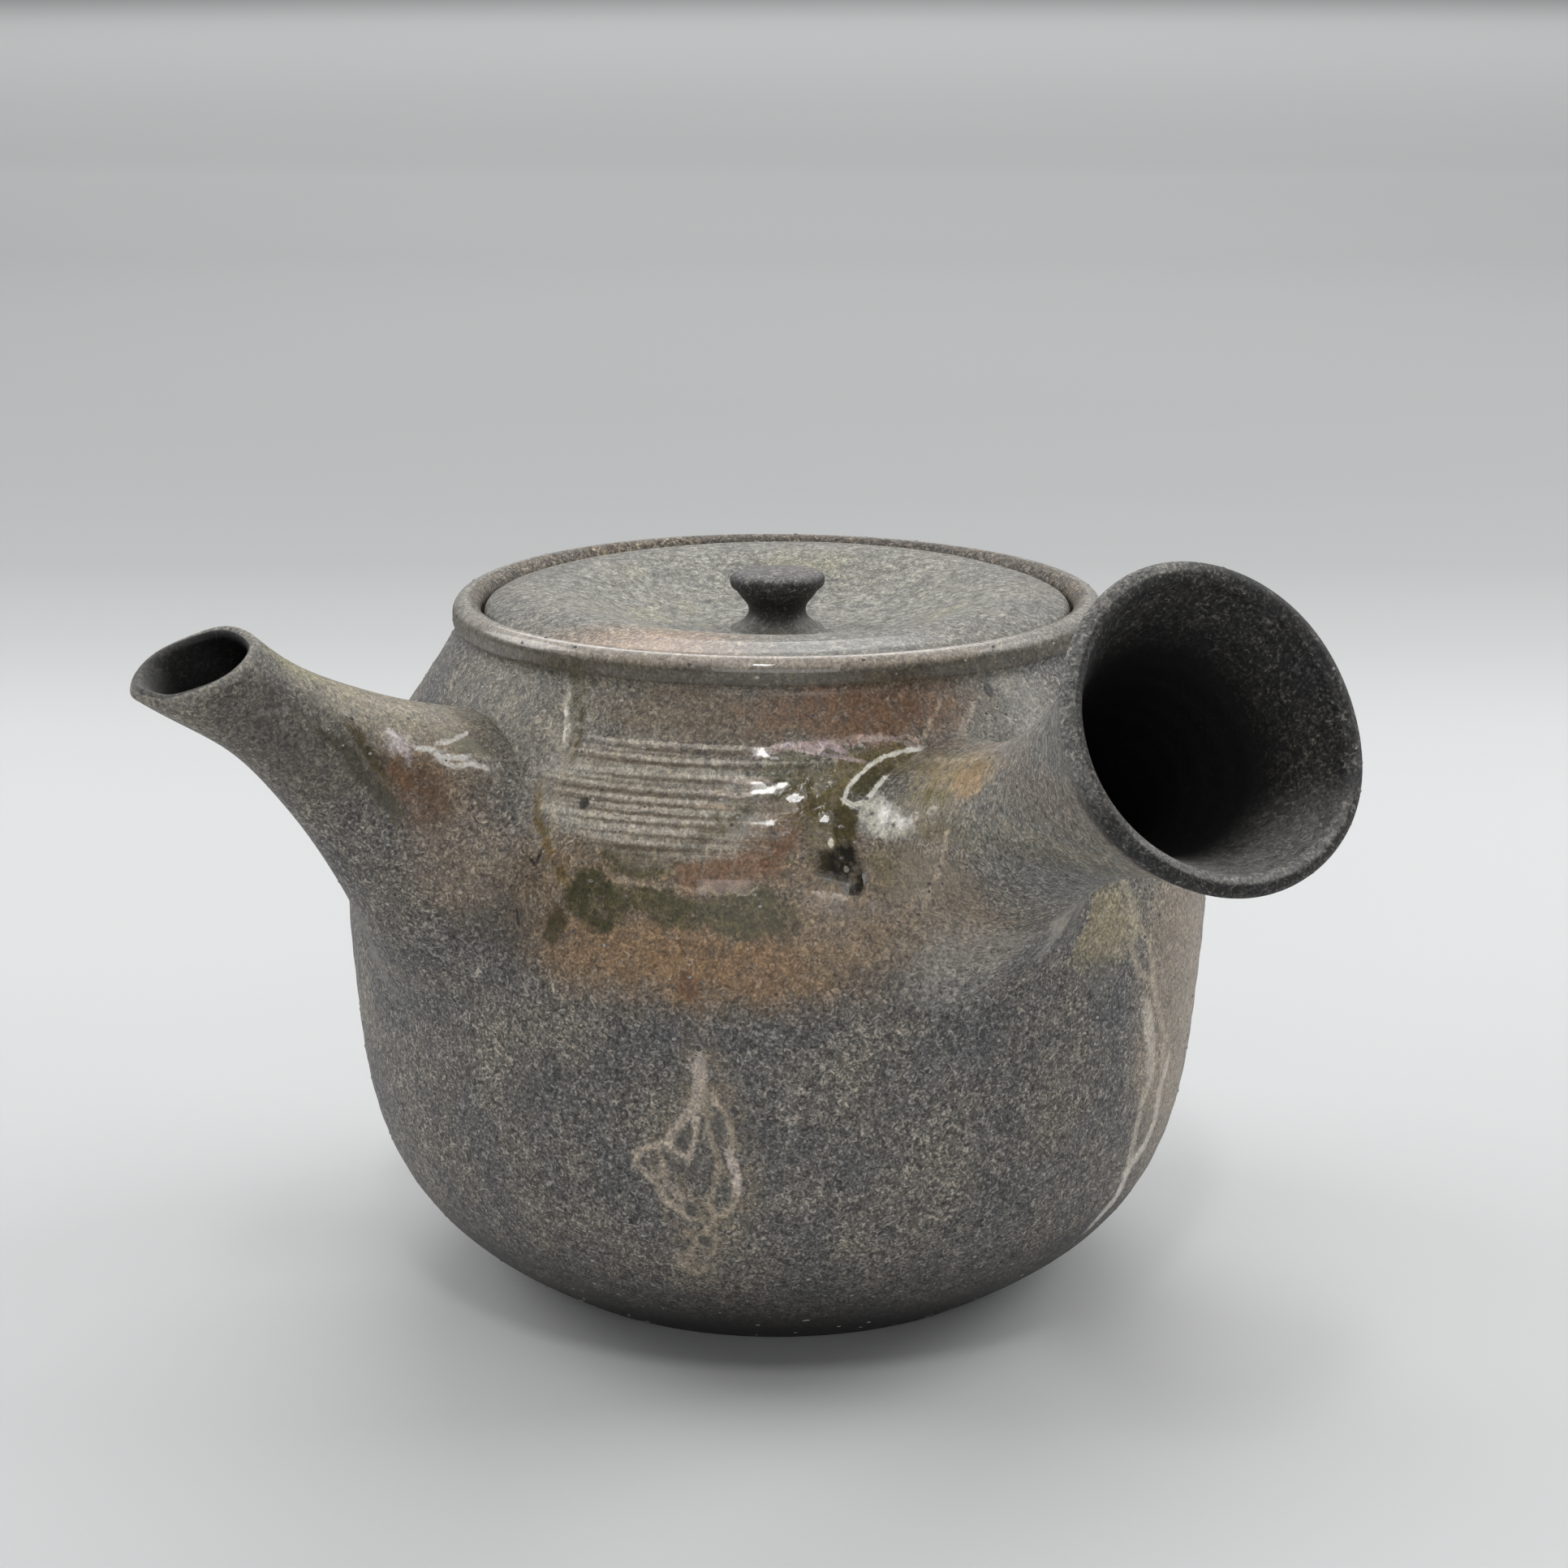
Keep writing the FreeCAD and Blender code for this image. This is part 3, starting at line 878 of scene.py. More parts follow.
class PotSurface(Finish):
    """A finish that knows where it is on the pot."""

    def __init__(self, name):
        super().__init__(name)
        metres = self.add("ShaderNodeTexCoord", {}, [], 3)
        self.place = self.scaled(metres, 1 / MM)
        across = self.dot(self.place, to_right)
        toward = self.dot(self.place, to_camera)
        bearing = self.add("ShaderNodeMath", {"operation": "ARCTAN2"}, [across, toward])
        self.along = bearing * unroll_radius
        self.height = self.dot(self.place, (0.0, 0.0, 1.0))
        self.label = self.add("ShaderNodeCombineXYZ", {}, [self.along, self.height, 0.0])
        self.slow = self.noise(self.place, 0.16, 2.0, 0.6, output=1)
        self.quick = self.noise(self.place, 0.9, 2.0, 0.65, output=1)
        self.wavy = self.shifted(self.place, self.quick, 1.0)
        self.broken = self.noise(self.place, 0.7, 1.0).between(0.36, 0.54) * 0.7 + 0.3
        self.worn = self.noise(self.place, 0.6, 3.0, 0.7).between(0.32, 0.56) * 0.5 + 0.5
        self.unroll(self.label)

    def unroll(self, label):
        """Lays the stains of the next tables on this label, torn a lot or only a little."""
        self.torn = self.shifted(self.shifted(label, self.slow, 4.5), self.quick, 1.5)
        self.ragged = self.shifted(label, self.quick, 1.6)
        self.crisp = self.shifted(label, self.quick, 0.45)

    def dot(self, vector, direction):
        return self.add("ShaderNodeVectorMath", {"operation": "DOT_PRODUCT"}, [vector, tuple(direction)], 1)

    def scaled(self, vector, factor):
        return self.add("ShaderNodeVectorMath", {"operation": "SCALE"}, {0: vector, 3: factor})

    def shifted(self, vector, noise_colour, reach):
        centred = self.add("ShaderNodeVectorMath", {"operation": "SUBTRACT"}, [noise_colour, (0.5, 0.5, 0.5)])
        return self.add("ShaderNodeVectorMath", {"operation": "ADD"}, [vector, self.scaled(centred, reach)])

    def stain(self, bearing, height, half_width, half_height, tilt=0.0, edge=0.25, field=None):
        """Soft ellipse on the unrolled surface: one inside, zero outside."""
        values = {
            "Vector": field or self.torn, "Location": self.spot(bearing, height),
            "Rotation": (0, 0, math.radians(tilt)), "Scale": (half_width, half_height, 1000.0),
        }
        local = self.add("ShaderNodeMapping", {"vector_type": "TEXTURE"}, values)
        return self.length(local).between(1 + edge, 1 - edge)

    def spot(self, bearing, height):
        """Place on the unrolled surface in millimetres."""
        return (math.radians(bearing) * unroll_radius, height, 0.0)

    def wait_for(self, colour):
        """Makes later stains wait for a colour. The renderer works out all it can at once, and holds
        only about 250 open values, so a long table has to be worked through in batches."""
        for name in ("torn", "ragged", "crisp"):
            values = [colour, (1e-6, 1e-6, 1e-6), getattr(self, name)]
            setattr(self, name, self.add("ShaderNodeVectorMath", {"operation": "MULTIPLY_ADD"}, values))

    def reach(self, field, place, turn, half_sizes, away=1000.0):
        """Distance from a tilted ellipse, or away where that is less."""
        values = {"Field": field, "Location": place, "Rotation": (0, 0, turn), "Scale": half_sizes}
        values["Away"] = away
        return self.add("ShaderNodeGroup", {"node_tree": reach_group}, values)

    def paint(self, away, edge, wear, tint, cover, glass, colour, wet):
        """Colour and glass with one more mark on them."""
        values = {
            "Away": away, "Inner": 1 - edge, "Outer": 1 + edge, "Wear": wear, "Tint": shade(*tint),
            "Cover": cover, "Glass": glass, "Colour": colour, "Wet": wet,
        }
        painted = self.add("ShaderNodeGroup", {"node_tree": paint_group}, values)
        return painted, Signal(self, painted.socket.node.outputs["Wet"])

    def run(self, places, width, field):
        """Distance from a line of slim overlapping ellipses through places of bearing and height."""
        spots = [np.array(self.spot(*place)) for place in places]
        away = 1000.0
        for start, end in zip(spots, spots[1:]):
            stretch = end - start
            half_sizes = (float(np.linalg.norm(stretch)) / 2 + 1.6 * width, width, 1000.0)
            turn = math.atan2(stretch[1], stretch[0])
            away = self.reach(field, tuple((start + end) / 2), turn, half_sizes, away)
        return away

    def stretched(self, factors):
        return self.add("ShaderNodeVectorMath", {"operation": "MULTIPLY"}, [self.place, factors])

    def mark(self, name):
        """Value that the mesh itself carries under a name."""
        settings = {"attribute_type": "GEOMETRY", "attribute_name": name}
        return self.add("ShaderNodeAttribute", settings, [], 2)


class HornSurface(PotSurface):
    """A finish that is unrolled from a horn: distance along it, and turn from its upper side."""

    def __init__(self, name, horn):
        super().__init__(name)
        self.along_horn = self.from_root(horn, horn.axis)
        self.above_axis = self.from_root(horn, horn.up)
        beside_axis = self.from_root(horn, horn.side)
        turn = self.add("ShaderNodeMath", {"operation": "ARCTAN2"}, [beside_axis, self.above_axis])
        around = turn * horn_unroll_radius
        self.horn_label = self.add("ShaderNodeCombineXYZ", {}, [self.along_horn, around, 0.0])
        self.on_horn = False

    def from_root(self, horn, direction):
        """Distance in millimetres from a horn's root along one of its directions."""
        return self.dot(self.place, direction) - float(horn.root @ direction)

    def onto_horn(self):
        """Lays the stains of the next tables along the horn."""
        self.on_horn = True
        self.unroll(self.horn_label)

    def spot(self, first, second):
        if self.on_horn:
            return (first, math.radians(second) * horn_unroll_radius, 0.0)
        return super().spot(first, second)


# %% [markdown]
# The clay under everything is dark and full of grit. Two noises of different size make the grains,
# and a colour ramp gives them their tones. A picture of stoneware would do this in one node, but it
# would repeat and blur close up. The same ramp with darker stops gives smoked clay.

# %% Ground clay
clay_stops = [
    (0.30, shade(74, 74, 72)), (0.44, shade(101, 100, 98)), (0.54, shade(119, 117, 114)),
    (0.68, shade(158, 155, 151)),
]
smoke_stops = [
    (0.30, shade(20, 20, 20)), (0.45, shade(40, 40, 40)), (0.56, shade(62, 61, 60)),
    (0.70, shade(112, 110, 108)),
]
# Near black: smoked clay with painted shade for the spout's narrow bore.
smoke_and_shade_bore_stops = [
    (0.30, shade(6, 6, 6)), (0.45, shade(13, 13, 13)), (0.56, shade(22, 22, 21)), (0.70, shade(44, 43, 42)),
]
inner_stops = [
    (0.32, shade(78, 72, 66)), (0.45, shade(104, 97, 89)), (0.56, shade(122, 115, 106)),
    (0.70, shade(158, 152, 142)),
]


def ground_clay(finish, stops=clay_stops):
    """Colour of the bare gritty clay, and how its grit stands up."""
    worms = finish.noise(finish.place, 1.5, 2.0, 0.6, 1.5)
    specks = finish.noise(finish.place, 3.2, 2.0, 0.6, 0.4)
    broad = finish.noise(finish.place, 0.11, 3.0, 0.55)
    grain = worms * 0.62 + specks * 0.38
    colour = finish.ramp(grain, stops)
    patchy = finish.ramp(broad, [(0.32, shade(205, 208, 214)), (0.68, shade(255, 250, 240))])
    return finish.mix(1.0, colour, patchy, "MULTIPLY"), grain


# %% [markdown]
# Ash and flame leave stains on the bare clay, and molten ash runs in lines. They are kept as tables,
# in the order in which they lie over each other, so that one can be tried, moved or dropped without
# touching a node. A row gives the colour, how much it covers and how glassy it is, and then its place
# on the unrolled wall. Painting them by hand would be quicker, and could not be changed afterwards.

# %% Laying stains and runs
stain_batch = 10
run_batch = 3
run_edge = 0.45


def lay_stains(finish, colour, wet, rows, crisp=False):
    """Lays a table of stains over a colour, and gathers how glassy the surface gets."""
    for i, (tint, cover, glass, bearing, height, half_width, half_height, tilt, edge) in enumerate(rows):
        if i % stain_batch == stain_batch - 1:
            finish.wait_for(colour)
        field, wear = (finish.crisp, 1.0) if crisp else (finish.torn, finish.worn)
        half_sizes = (half_width, half_height, 1000.0)
        away = finish.reach(field, finish.spot(bearing, height), math.radians(tilt), half_sizes)
        colour, wet = finish.paint(away, edge, wear, tint, cover, glass, colour, wet)
    return colour, wet


def lay_runs(finish, colour, wet, rows, crisp=False):
    """Lays a table of runs, each a line of a given half width through a few places."""
    for i, (tint, cover, glass, width, places) in enumerate(rows):
        if i % run_batch == 0:
            finish.wait_for(colour)
        field, wear = (finish.crisp, 1.0) if crisp else (finish.ragged, finish.broken)
        away = finish.run(places, width, field)
        colour, wet = finish.paint(away, run_edge, wear, tint, cover, glass, colour, wet)
    return colour, wet


# %% [markdown]
# Glass hides grit, mottles where it is deep, and shines. One field, how glassy a place is, drives all
# three, so gloss never sits where there is no glaze. The coat stands for the glass over the clay, and
# keeps its own smoothness while the clay below stays rough.

# %% Glaze over clay
wet_roughness = 0.13
coat_share = 0.9


def glaze_relief(finish, grain, pools, grit_height):
    """Bump of the grit, which the pools of glass drown in a slow swell of their own."""
    swell = finish.noise(finish.place, 0.5, 2.0, 0.5, 0.8)
    level = grain
    for pool in pools:
        glass = finish.stain(*pool, field=finish.label)
        level = level * (1 - glass * 0.8) + swell * glass * 2.4
    values = {"Strength": 1.0, "Distance": grit_height * MM, "Height": level}
    return finish.add("ShaderNodeBump", {}, values)


def glaze_over(finish, colour, grain, wet, dry_rough=0.62, grit_height=0.07, pools=()):
    """Sets the surface from its colour, its grit and how glassy it is.
    Blender works the bump out three times over, so its glass is a few broad pools."""
    cells = finish.noise(finish.place, 0.75, 4.0, 0.7, 1.6)
    mottle_stops = [(0.34, shade(176, 170, 150)), (0.5, shade(238, 236, 230)), (0.66, shade(255, 255, 255))]
    mottled = finish.mix(1.0, colour, finish.ramp(cells, mottle_stops), "MULTIPLY")
    colour = finish.mix(wet * 0.8, colour, mottled)
    through_stops = [(0.34, shade(96, 94, 92)), (0.5, shade(186, 186, 186)), (0.64, shade(250, 248, 244))]
    colour = finish.mix(0.8 - wet * 0.35, colour, finish.ramp(grain, through_stops), "OVERLAY")
    streaks = finish.noise(finish.stretched((1.0, 1.0, 0.6)), 1.25, 3.0, 0.7)
    warmth_stops = [(0.34, shade(142, 145, 150)), (0.5, shade(188, 187, 186)), (0.66, shade(226, 220, 209))]
    colour = finish.mix(0.42, colour, finish.ramp(streaks, warmth_stops), "OVERLAY")
    bump = glaze_relief(finish, grain, pools, grit_height)
    roughness = dry_rough - wet * (dry_rough - wet_roughness)
    finish.set(Base_Color=colour, Roughness=roughness, Coat_Weight=wet * coat_share, Normal=bump)
    finish.set(Coat_Roughness=0.04, Coat_IOR=1.5, IOR=1.45)


def bare_inside(finish, colour, wet, stops=inner_stops):
    """Shows bare clay where the mesh says that it is inside."""
    inside = finish.mark("inside")
    bare, _ = ground_clay(finish, stops)
    return finish.mix(inside, colour, bare), wet * (1 - inside)


def fade_to_wall(finish, colour, wet, wall_colour, wall_wet):
    """Lets a horn's own colours run out into the wall's where its mesh says that it is joined."""
    joint = finish.mark("joint")
    return finish.mix(joint, colour, wall_colour), wet * (1 - joint) + wall_wet * joint


def dress(piece, material):
    piece.data.materials.clear()
    piece.data.materials.append(material)
    print(f"{piece.name}: {material.name}, {len(material.node_tree.nodes)} nodes")


# %% [markdown]
# The front of the shoulder faced the fire. Ash melted there into a warm band with olive and amber pools,
# brighter glass where the comb marks hold it, and a few black pits where a grain burst. A white patch among
# the stains and a white dot among the pits are painted highlights on the wet glass. The far side is calmer.
# Bearings are in degrees from the front, and heights and sizes in millimetres.

# %% Stains of the shoulder, with two painted highlights
# Colour, cover, glass, bearing, height, half width, half height, tilt, softness
shoulder_stains_and_painted_highlight = [
    ((120, 114, 100), 0.50, 0.05, -22, 72.0, 36, 7.5, 0, 0.35),
    ((134, 112, 84), 0.62, 0.10, -9, 54.5, 25, 9.5, 0, 0.35),
    ((146, 112, 76), 0.50, 0.05, -10, 50.0, 14, 3.8, 0, 0.6),
    ((138, 124, 106), 0.55, 0.10, 13, 54.5, 9.5, 6.5, -15, 0.5),
    ((160, 154, 142), 0.50, 0.35, -33, 66.5, 3.2, 6.5, 0, 0.5),
    ((172, 166, 156), 0.60, 0.60, -16.5, 64.8, 13, 4.8, -3, 0.2),
    ((120, 104, 86), 0.50, 0.30, -12, 72.8, 13, 2.4, 0, 0.4),
    ((134, 132, 122), 0.70, 0.15, 37, 72.4, 11, 4.6, -6, 0.4),
    ((118, 86, 62), 0.80, 0.45, 14, 73.2, 15, 3.0, 0, 0.45),
    ((128, 92, 68), 0.65, 0.75, -0.3, 62.4, 4.0, 2.6, 55, 0.35),
    ((130, 94, 70), 0.62, 0.70, -6.0, 58.8, 5.4, 1.7, 0, 0.3),
    ((66, 63, 38), 1.00, 0.30, -23.4, 55.2, 3.6, 2.8, -10, 0.2),
    ((72, 64, 40), 1.00, 0.30, -27.9, 51.9, 1.5, 1.7, 0, 0.2),
    ((80, 76, 50), 0.95, 0.25, -15.0, 55.4, 5.2, 1.7, -5, 0.25),
    ((80, 75, 50), 0.95, 0.15, -3.5, 54.6, 5.6, 2.3, -12, 0.25),
    ((84, 79, 56), 0.85, 0.25, -18.0, 59.6, 4.6, 1.4, -8, 0.35),
    ((96, 84, 52), 0.80, 0.90, 5.0, 65.6, 4.2, 2.2, 20, 0.3),
    ((120, 108, 72), 0.75, 0.90, 13.5, 68.2, 7.5, 1.5, 14, 0.3),
    ((178, 158, 118), 0.70, 0.85, 25.5, 67.6, 5.4, 1.3, 8, 0.4),
    ((176, 138, 92), 0.75, 0.70, 29.8, 66.8, 3.0, 1.5, 10, 0.5),
    ((108, 102, 62), 0.80, 0.85, 20.5, 64.9, 4.6, 1.4, 8, 0.25),
    ((120, 110, 84), 0.70, 0.85, 15.8, 59.2, 3.0, 2.6, 0, 0.3),
    ((98, 90, 56), 0.55, 0.60, 7.0, 63.2, 2.9, 5.0, 0, 0.4),
    ((92, 88, 54), 0.55, 0.50, 1.0, 67.7, 2.7, 1.8, 0, 0.4),
    ((76, 72, 46), 0.80, 0.90, 13.8, 67.4, 2.7, 1.2, 35, 0.3),
    ((132, 120, 112), 0.50, 0.40, 10.3, 55.9, 5.0, 1.1, 0, 0.5),
    ((74, 68, 38), 0.85, 0.95, 8.8, 63.0, 1.7, 2.7, 0, 0.3),
    ((44, 38, 20), 0.90, 1.00, 5.9, 59.8, 1.4, 1.2, 0, 0.3),
    ((24, 20, 9), 0.98, 1.00, 8.7, 59.4, 2.0, 2.2, 0, 0.25),
    # Painted highlight: the white fall of wet glass below the loop of highlights.
    ((214, 211, 202), 0.95, 0.95, 13.4, 63.9, 1.7, 1.5, 35, 0.35),
    ((92, 92, 88), 0.90, 0.50, -10.0, 61.3, 1.2, 0.9, 0, 0.2),
    ((106, 72, 42), 0.85, 0.40, -9.8, 47.6, 0.9, 1.5, 15, 0.4),
    ((78, 76, 72), 0.55, 0.00, -35.0, 51.5, 3.2, 3.2, 50, 0.5),
    ((74, 73, 71), 0.50, 0.00, 14.0, 47.0, 5.0, 1.6, -20, 0.5),
    ((150, 149, 145), 0.60, 0.05, 22.2, 49.5, 6.5, 4.5, 20, 0.5),
]
pits_and_painted_glint = [
    ((34, 32, 30), 0.95, 0.50, 37.0, 74.0, 0.7, 0.7, 0, 0.3),
    ((36, 34, 30), 0.90, 0.50, -27.2, 64.1, 0.6, 0.5, 0, 0.3),
    ((92, 90, 88), 0.80, 0.50, -40.7, 65.6, 0.4, 0.4, 0, 0.3),
    # Painted highlight: a white glint on the wet glass near the dark pool.
    ((236, 230, 214), 0.95, 0.50, 6.9, 61.6, 0.3, 0.4, 0, 0.3),
    ((150, 150, 140), 0.90, 0.50, 8.7, 59.2, 0.3, 0.3, 0, 0.3),
]
far_stains = [
    ((128, 116, 98), 0.45, 0.08, -118, 58, 26, 10, 8, 0.5),
    ((124, 118, 104), 0.50, 0.20, 140, 66, 30, 7, 0, 0.4),
    ((132, 112, 84), 0.50, 0.10, 96, 52, 16, 9, -12, 0.5),
    ((96, 88, 64), 0.70, 0.75, 118, 66, 5, 2.4, 10, 0.3),
    ((98, 92, 70), 0.65, 0.70, -152, 64, 7, 1.8, -8, 0.3),
    ((124, 92, 68), 0.55, 0.50, 168, 71, 12, 3, 0, 0.4),
]
print(f"{len(shoulder_stains_and_painted_highlight) + len(pits_and_painted_glint) + len(far_stains)} stains and pits on the wall")

# %% [markdown]
# Where ash is thick enough it flows. The runs follow the shoulder's slope. Each groove of the comb gets a
# dark line of painted shade with a pale line of painted highlight on the ridge above it, so those are made by
# a loop from the grooves' places.

# %% Runs of the shoulder
# Colour, cover, glass, half width, then places of bearing and height
shoulder_runs = [
    ((84, 78, 54), 0.85, 0.85, 1.0, [(-34.9, 75.0), (-32.6, 72.4), (-31.6, 69.4)]),
    ((196, 190, 178), 0.75, 0.85, 0.35, [(-36.6, 74.0), (-34.6, 71.5), (-33.2, 69.0)]),
    ((116, 98, 60), 0.75, 0.70, 0.55, [
        (-35.0, 64.6), (-34.0, 62.2), (-32.2, 61.0), (-29.6, 58.4), (-27.4, 56.8),
    ]),
    ((178, 166, 146), 0.55, 0.60, 0.35, [(-31.6, 69.3), (-32.2, 66.4), (-31.8, 63.0), (-30.6, 60.8)]),
    ((92, 86, 60), 0.75, 0.80, 1.0, [(-8.9, 62.6), (-4.6, 64.8), (-0.8, 66.0), (2.4, 67.6)]),
    ((196, 172, 168), 0.55, 0.90, 0.4, [(-3.4, 69.6), (2.0, 70.2), (7.6, 70.4), (13.1, 70.8)]),
    ((200, 180, 172), 0.60, 0.90, 0.3, [(13.1, 70.8), (18.4, 70.8), (22.6, 70.3)]),
    ((196, 184, 168), 0.55, 0.80, 0.3, [(22.6, 70.3), (24.6, 71.8), (27.0, 73.4)]),
    ((186, 170, 150), 0.65, 0.60, 0.35, [
        (4.2, 57.0), (9.5, 56.4), (13.7, 55.4), (17.7, 56.8), (20.2, 59.8),
    ]),
    ((190, 178, 160), 0.55, 0.80, 0.3, [(20.2, 59.8), (19.4, 62.4), (24.2, 63.2), (28.0, 65.2)]),
    ((176, 160, 140), 0.55, 0.60, 0.25, [
        (-21.0, 57.4), (-16.6, 57.0), (-12.4, 57.3), (-7.0, 56.9), (-2.6, 57.2),
    ]),
    ((172, 156, 138), 0.45, 0.60, 0.2, [(-6.2, 61.6), (-5.4, 59.4), (-4.6, 57.4)]),
    ((172, 156, 138), 0.45, 0.60, 0.2, [(-2.6, 61.0), (-2.2, 59.2), (-2.4, 57.4)]),
]
comb_painted_shade_and_highlight_lines = []
for level, start, end in zip(groove_heights, groove_starts, groove_ends):
    groove_shade_line = [(start, level), (end, level)]
    crest = [(start + 2, level + 0.55), (end - 1, level + 0.5)]
    # Painted shade as a dark line in each groove, and a painted highlight as a pale line on the ridge above.
    comb_painted_shade_and_highlight_lines.append(((92, 80, 66), 0.65, 0.1, 0.17, groove_shade_line))
    comb_painted_shade_and_highlight_lines.append(((204, 196, 184), 0.50, 0.3, 0.19, crest))
print(f"{len(shoulder_runs)} runs and {len(comb_painted_shade_and_highlight_lines)} comb lines")

# %% [markdown]
# Thin pale threads are painted highlights: they stand for the lamps' reflections on the wet glass along the
# front, on the rim's crest and round the spout's root, and a few dark ticks close the table. Noise that tears
# a stain would break such a thread into crumbs, so these are laid crisp.

# %% Painted highlights on the wet glaze
painted_highlights_and_dark_ticks = [
    ((240, 238, 234), 0.90, 1.00, 0.35, [(-5.0, 78.3), (-1.5, 78.3)]),
    ((240, 238, 230), 0.95, 1.00, 0.22, [
        (9.3, 65.4), (10.1, 66.6), (12.1, 67.7), (14.1, 68.5), (16.4, 69.1), (19.0, 69.4), (21.7, 69.5),
        (21.7, 69.1), (20.2, 68.4),
    ]),
    ((240, 238, 230), 0.95, 1.00, 0.25, [
        (9.3, 65.3), (10.6, 64.8), (12.0, 65.1), (13.5, 66.0), (14.9, 66.9), (16.2, 67.2),
    ]),
    ((204, 184, 190), 0.70, 0.80, 0.32, [
        (0.4, 70.3), (3.4, 70.5), (5.5, 70.1), (7.8, 70.5), (9.8, 69.8),
    ]),
    ((204, 186, 190), 0.60, 0.80, 0.2, [(3.4, 69.9), (7.6, 69.5), (12.6, 68.7)]),
    ((190, 176, 172), 0.60, 0.80, 0.22, [
        (12.8, 70.6), (16.6, 70.8), (19.3, 70.2), (21.5, 69.7), (23.6, 69.2),
    ]),
    ((206, 192, 182), 0.70, 0.80, 0.28, [(-6.5, 67.1), (-1.5, 67.1)]),
    ((214, 200, 190), 0.80, 0.80, 0.22, [(-9.8, 66.1), (-4.7, 65.8), (-1.1, 66.4)]),
    ((190, 172, 152), 0.60, 0.60, 0.25, [(-10.7, 64.8), (-6.0, 64.7)]),
    ((192, 191, 184), 0.60, 0.80, 0.32, [(11.9, 64.6), (11.1, 62.0)]),
    ((196, 192, 186), 0.70, 0.80, 0.36, [(16.4, 65.9), (14.5, 65.0), (13.2, 63.3), (12.2, 61.3)]),
    ((188, 187, 180), 0.60, 0.80, 0.36, [(14.0, 63.7), (17.7, 63.2)]),
    ((176, 166, 158), 0.55, 0.60, 0.42, [(28.5, 69.8), (30.5, 71.4), (32.8, 72.6)]),
    ((222, 216, 212), 0.80, 0.90, 0.25, [(-60.5, 66.0), (-56.6, 66.9), (-54.7, 67.7)]),
    ((228, 226, 220), 0.85, 0.90, 0.25, [(-62.0, 64.9), (-57.5, 65.1), (-54.4, 65.5), (-51.2, 66.1)]),
    ((226, 222, 216), 0.85, 0.90, 0.24, [
        (-56.9, 64.8), (-52.8, 64.6), (-49.9, 65.3), (-46.7, 65.6), (-48.5, 66.5), (-50.7, 66.6),
    ]),
    ((180, 172, 176), 0.50, 0.40, 0.42, [(-45.5, 65.8), (-42.9, 65.7), (-40.9, 65.3)]),
    ((226, 222, 214), 0.80, 0.90, 0.16, [(-35.6, 72.7), (-34.8, 71.2), (-33.6, 69.4)]),
    # Dark ticks, the pot's own marks, end the table.
    ((44, 42, 40), 0.90, 0.10, 0.2, [(-33.2, 58.3), (-32.0, 57.6), (-31.7, 59.1)]),
    ((44, 42, 40), 0.85, 0.10, 0.16, [(-33.9, 53.1), (-33.3, 51.5)]),
    ((52, 50, 46), 0.85, 0.10, 0.28, [(-56.9, 70.6), (-56.3, 71.3)]),
]
print(f"{len(painted_highlights_and_dark_ticks)} wet lines")

# %% [markdown]
# Lower down, pale veins spread over the dark belly like roots, with dark spots of clay between them.
# Wide faint runs go first, and thin bright ones follow on top.

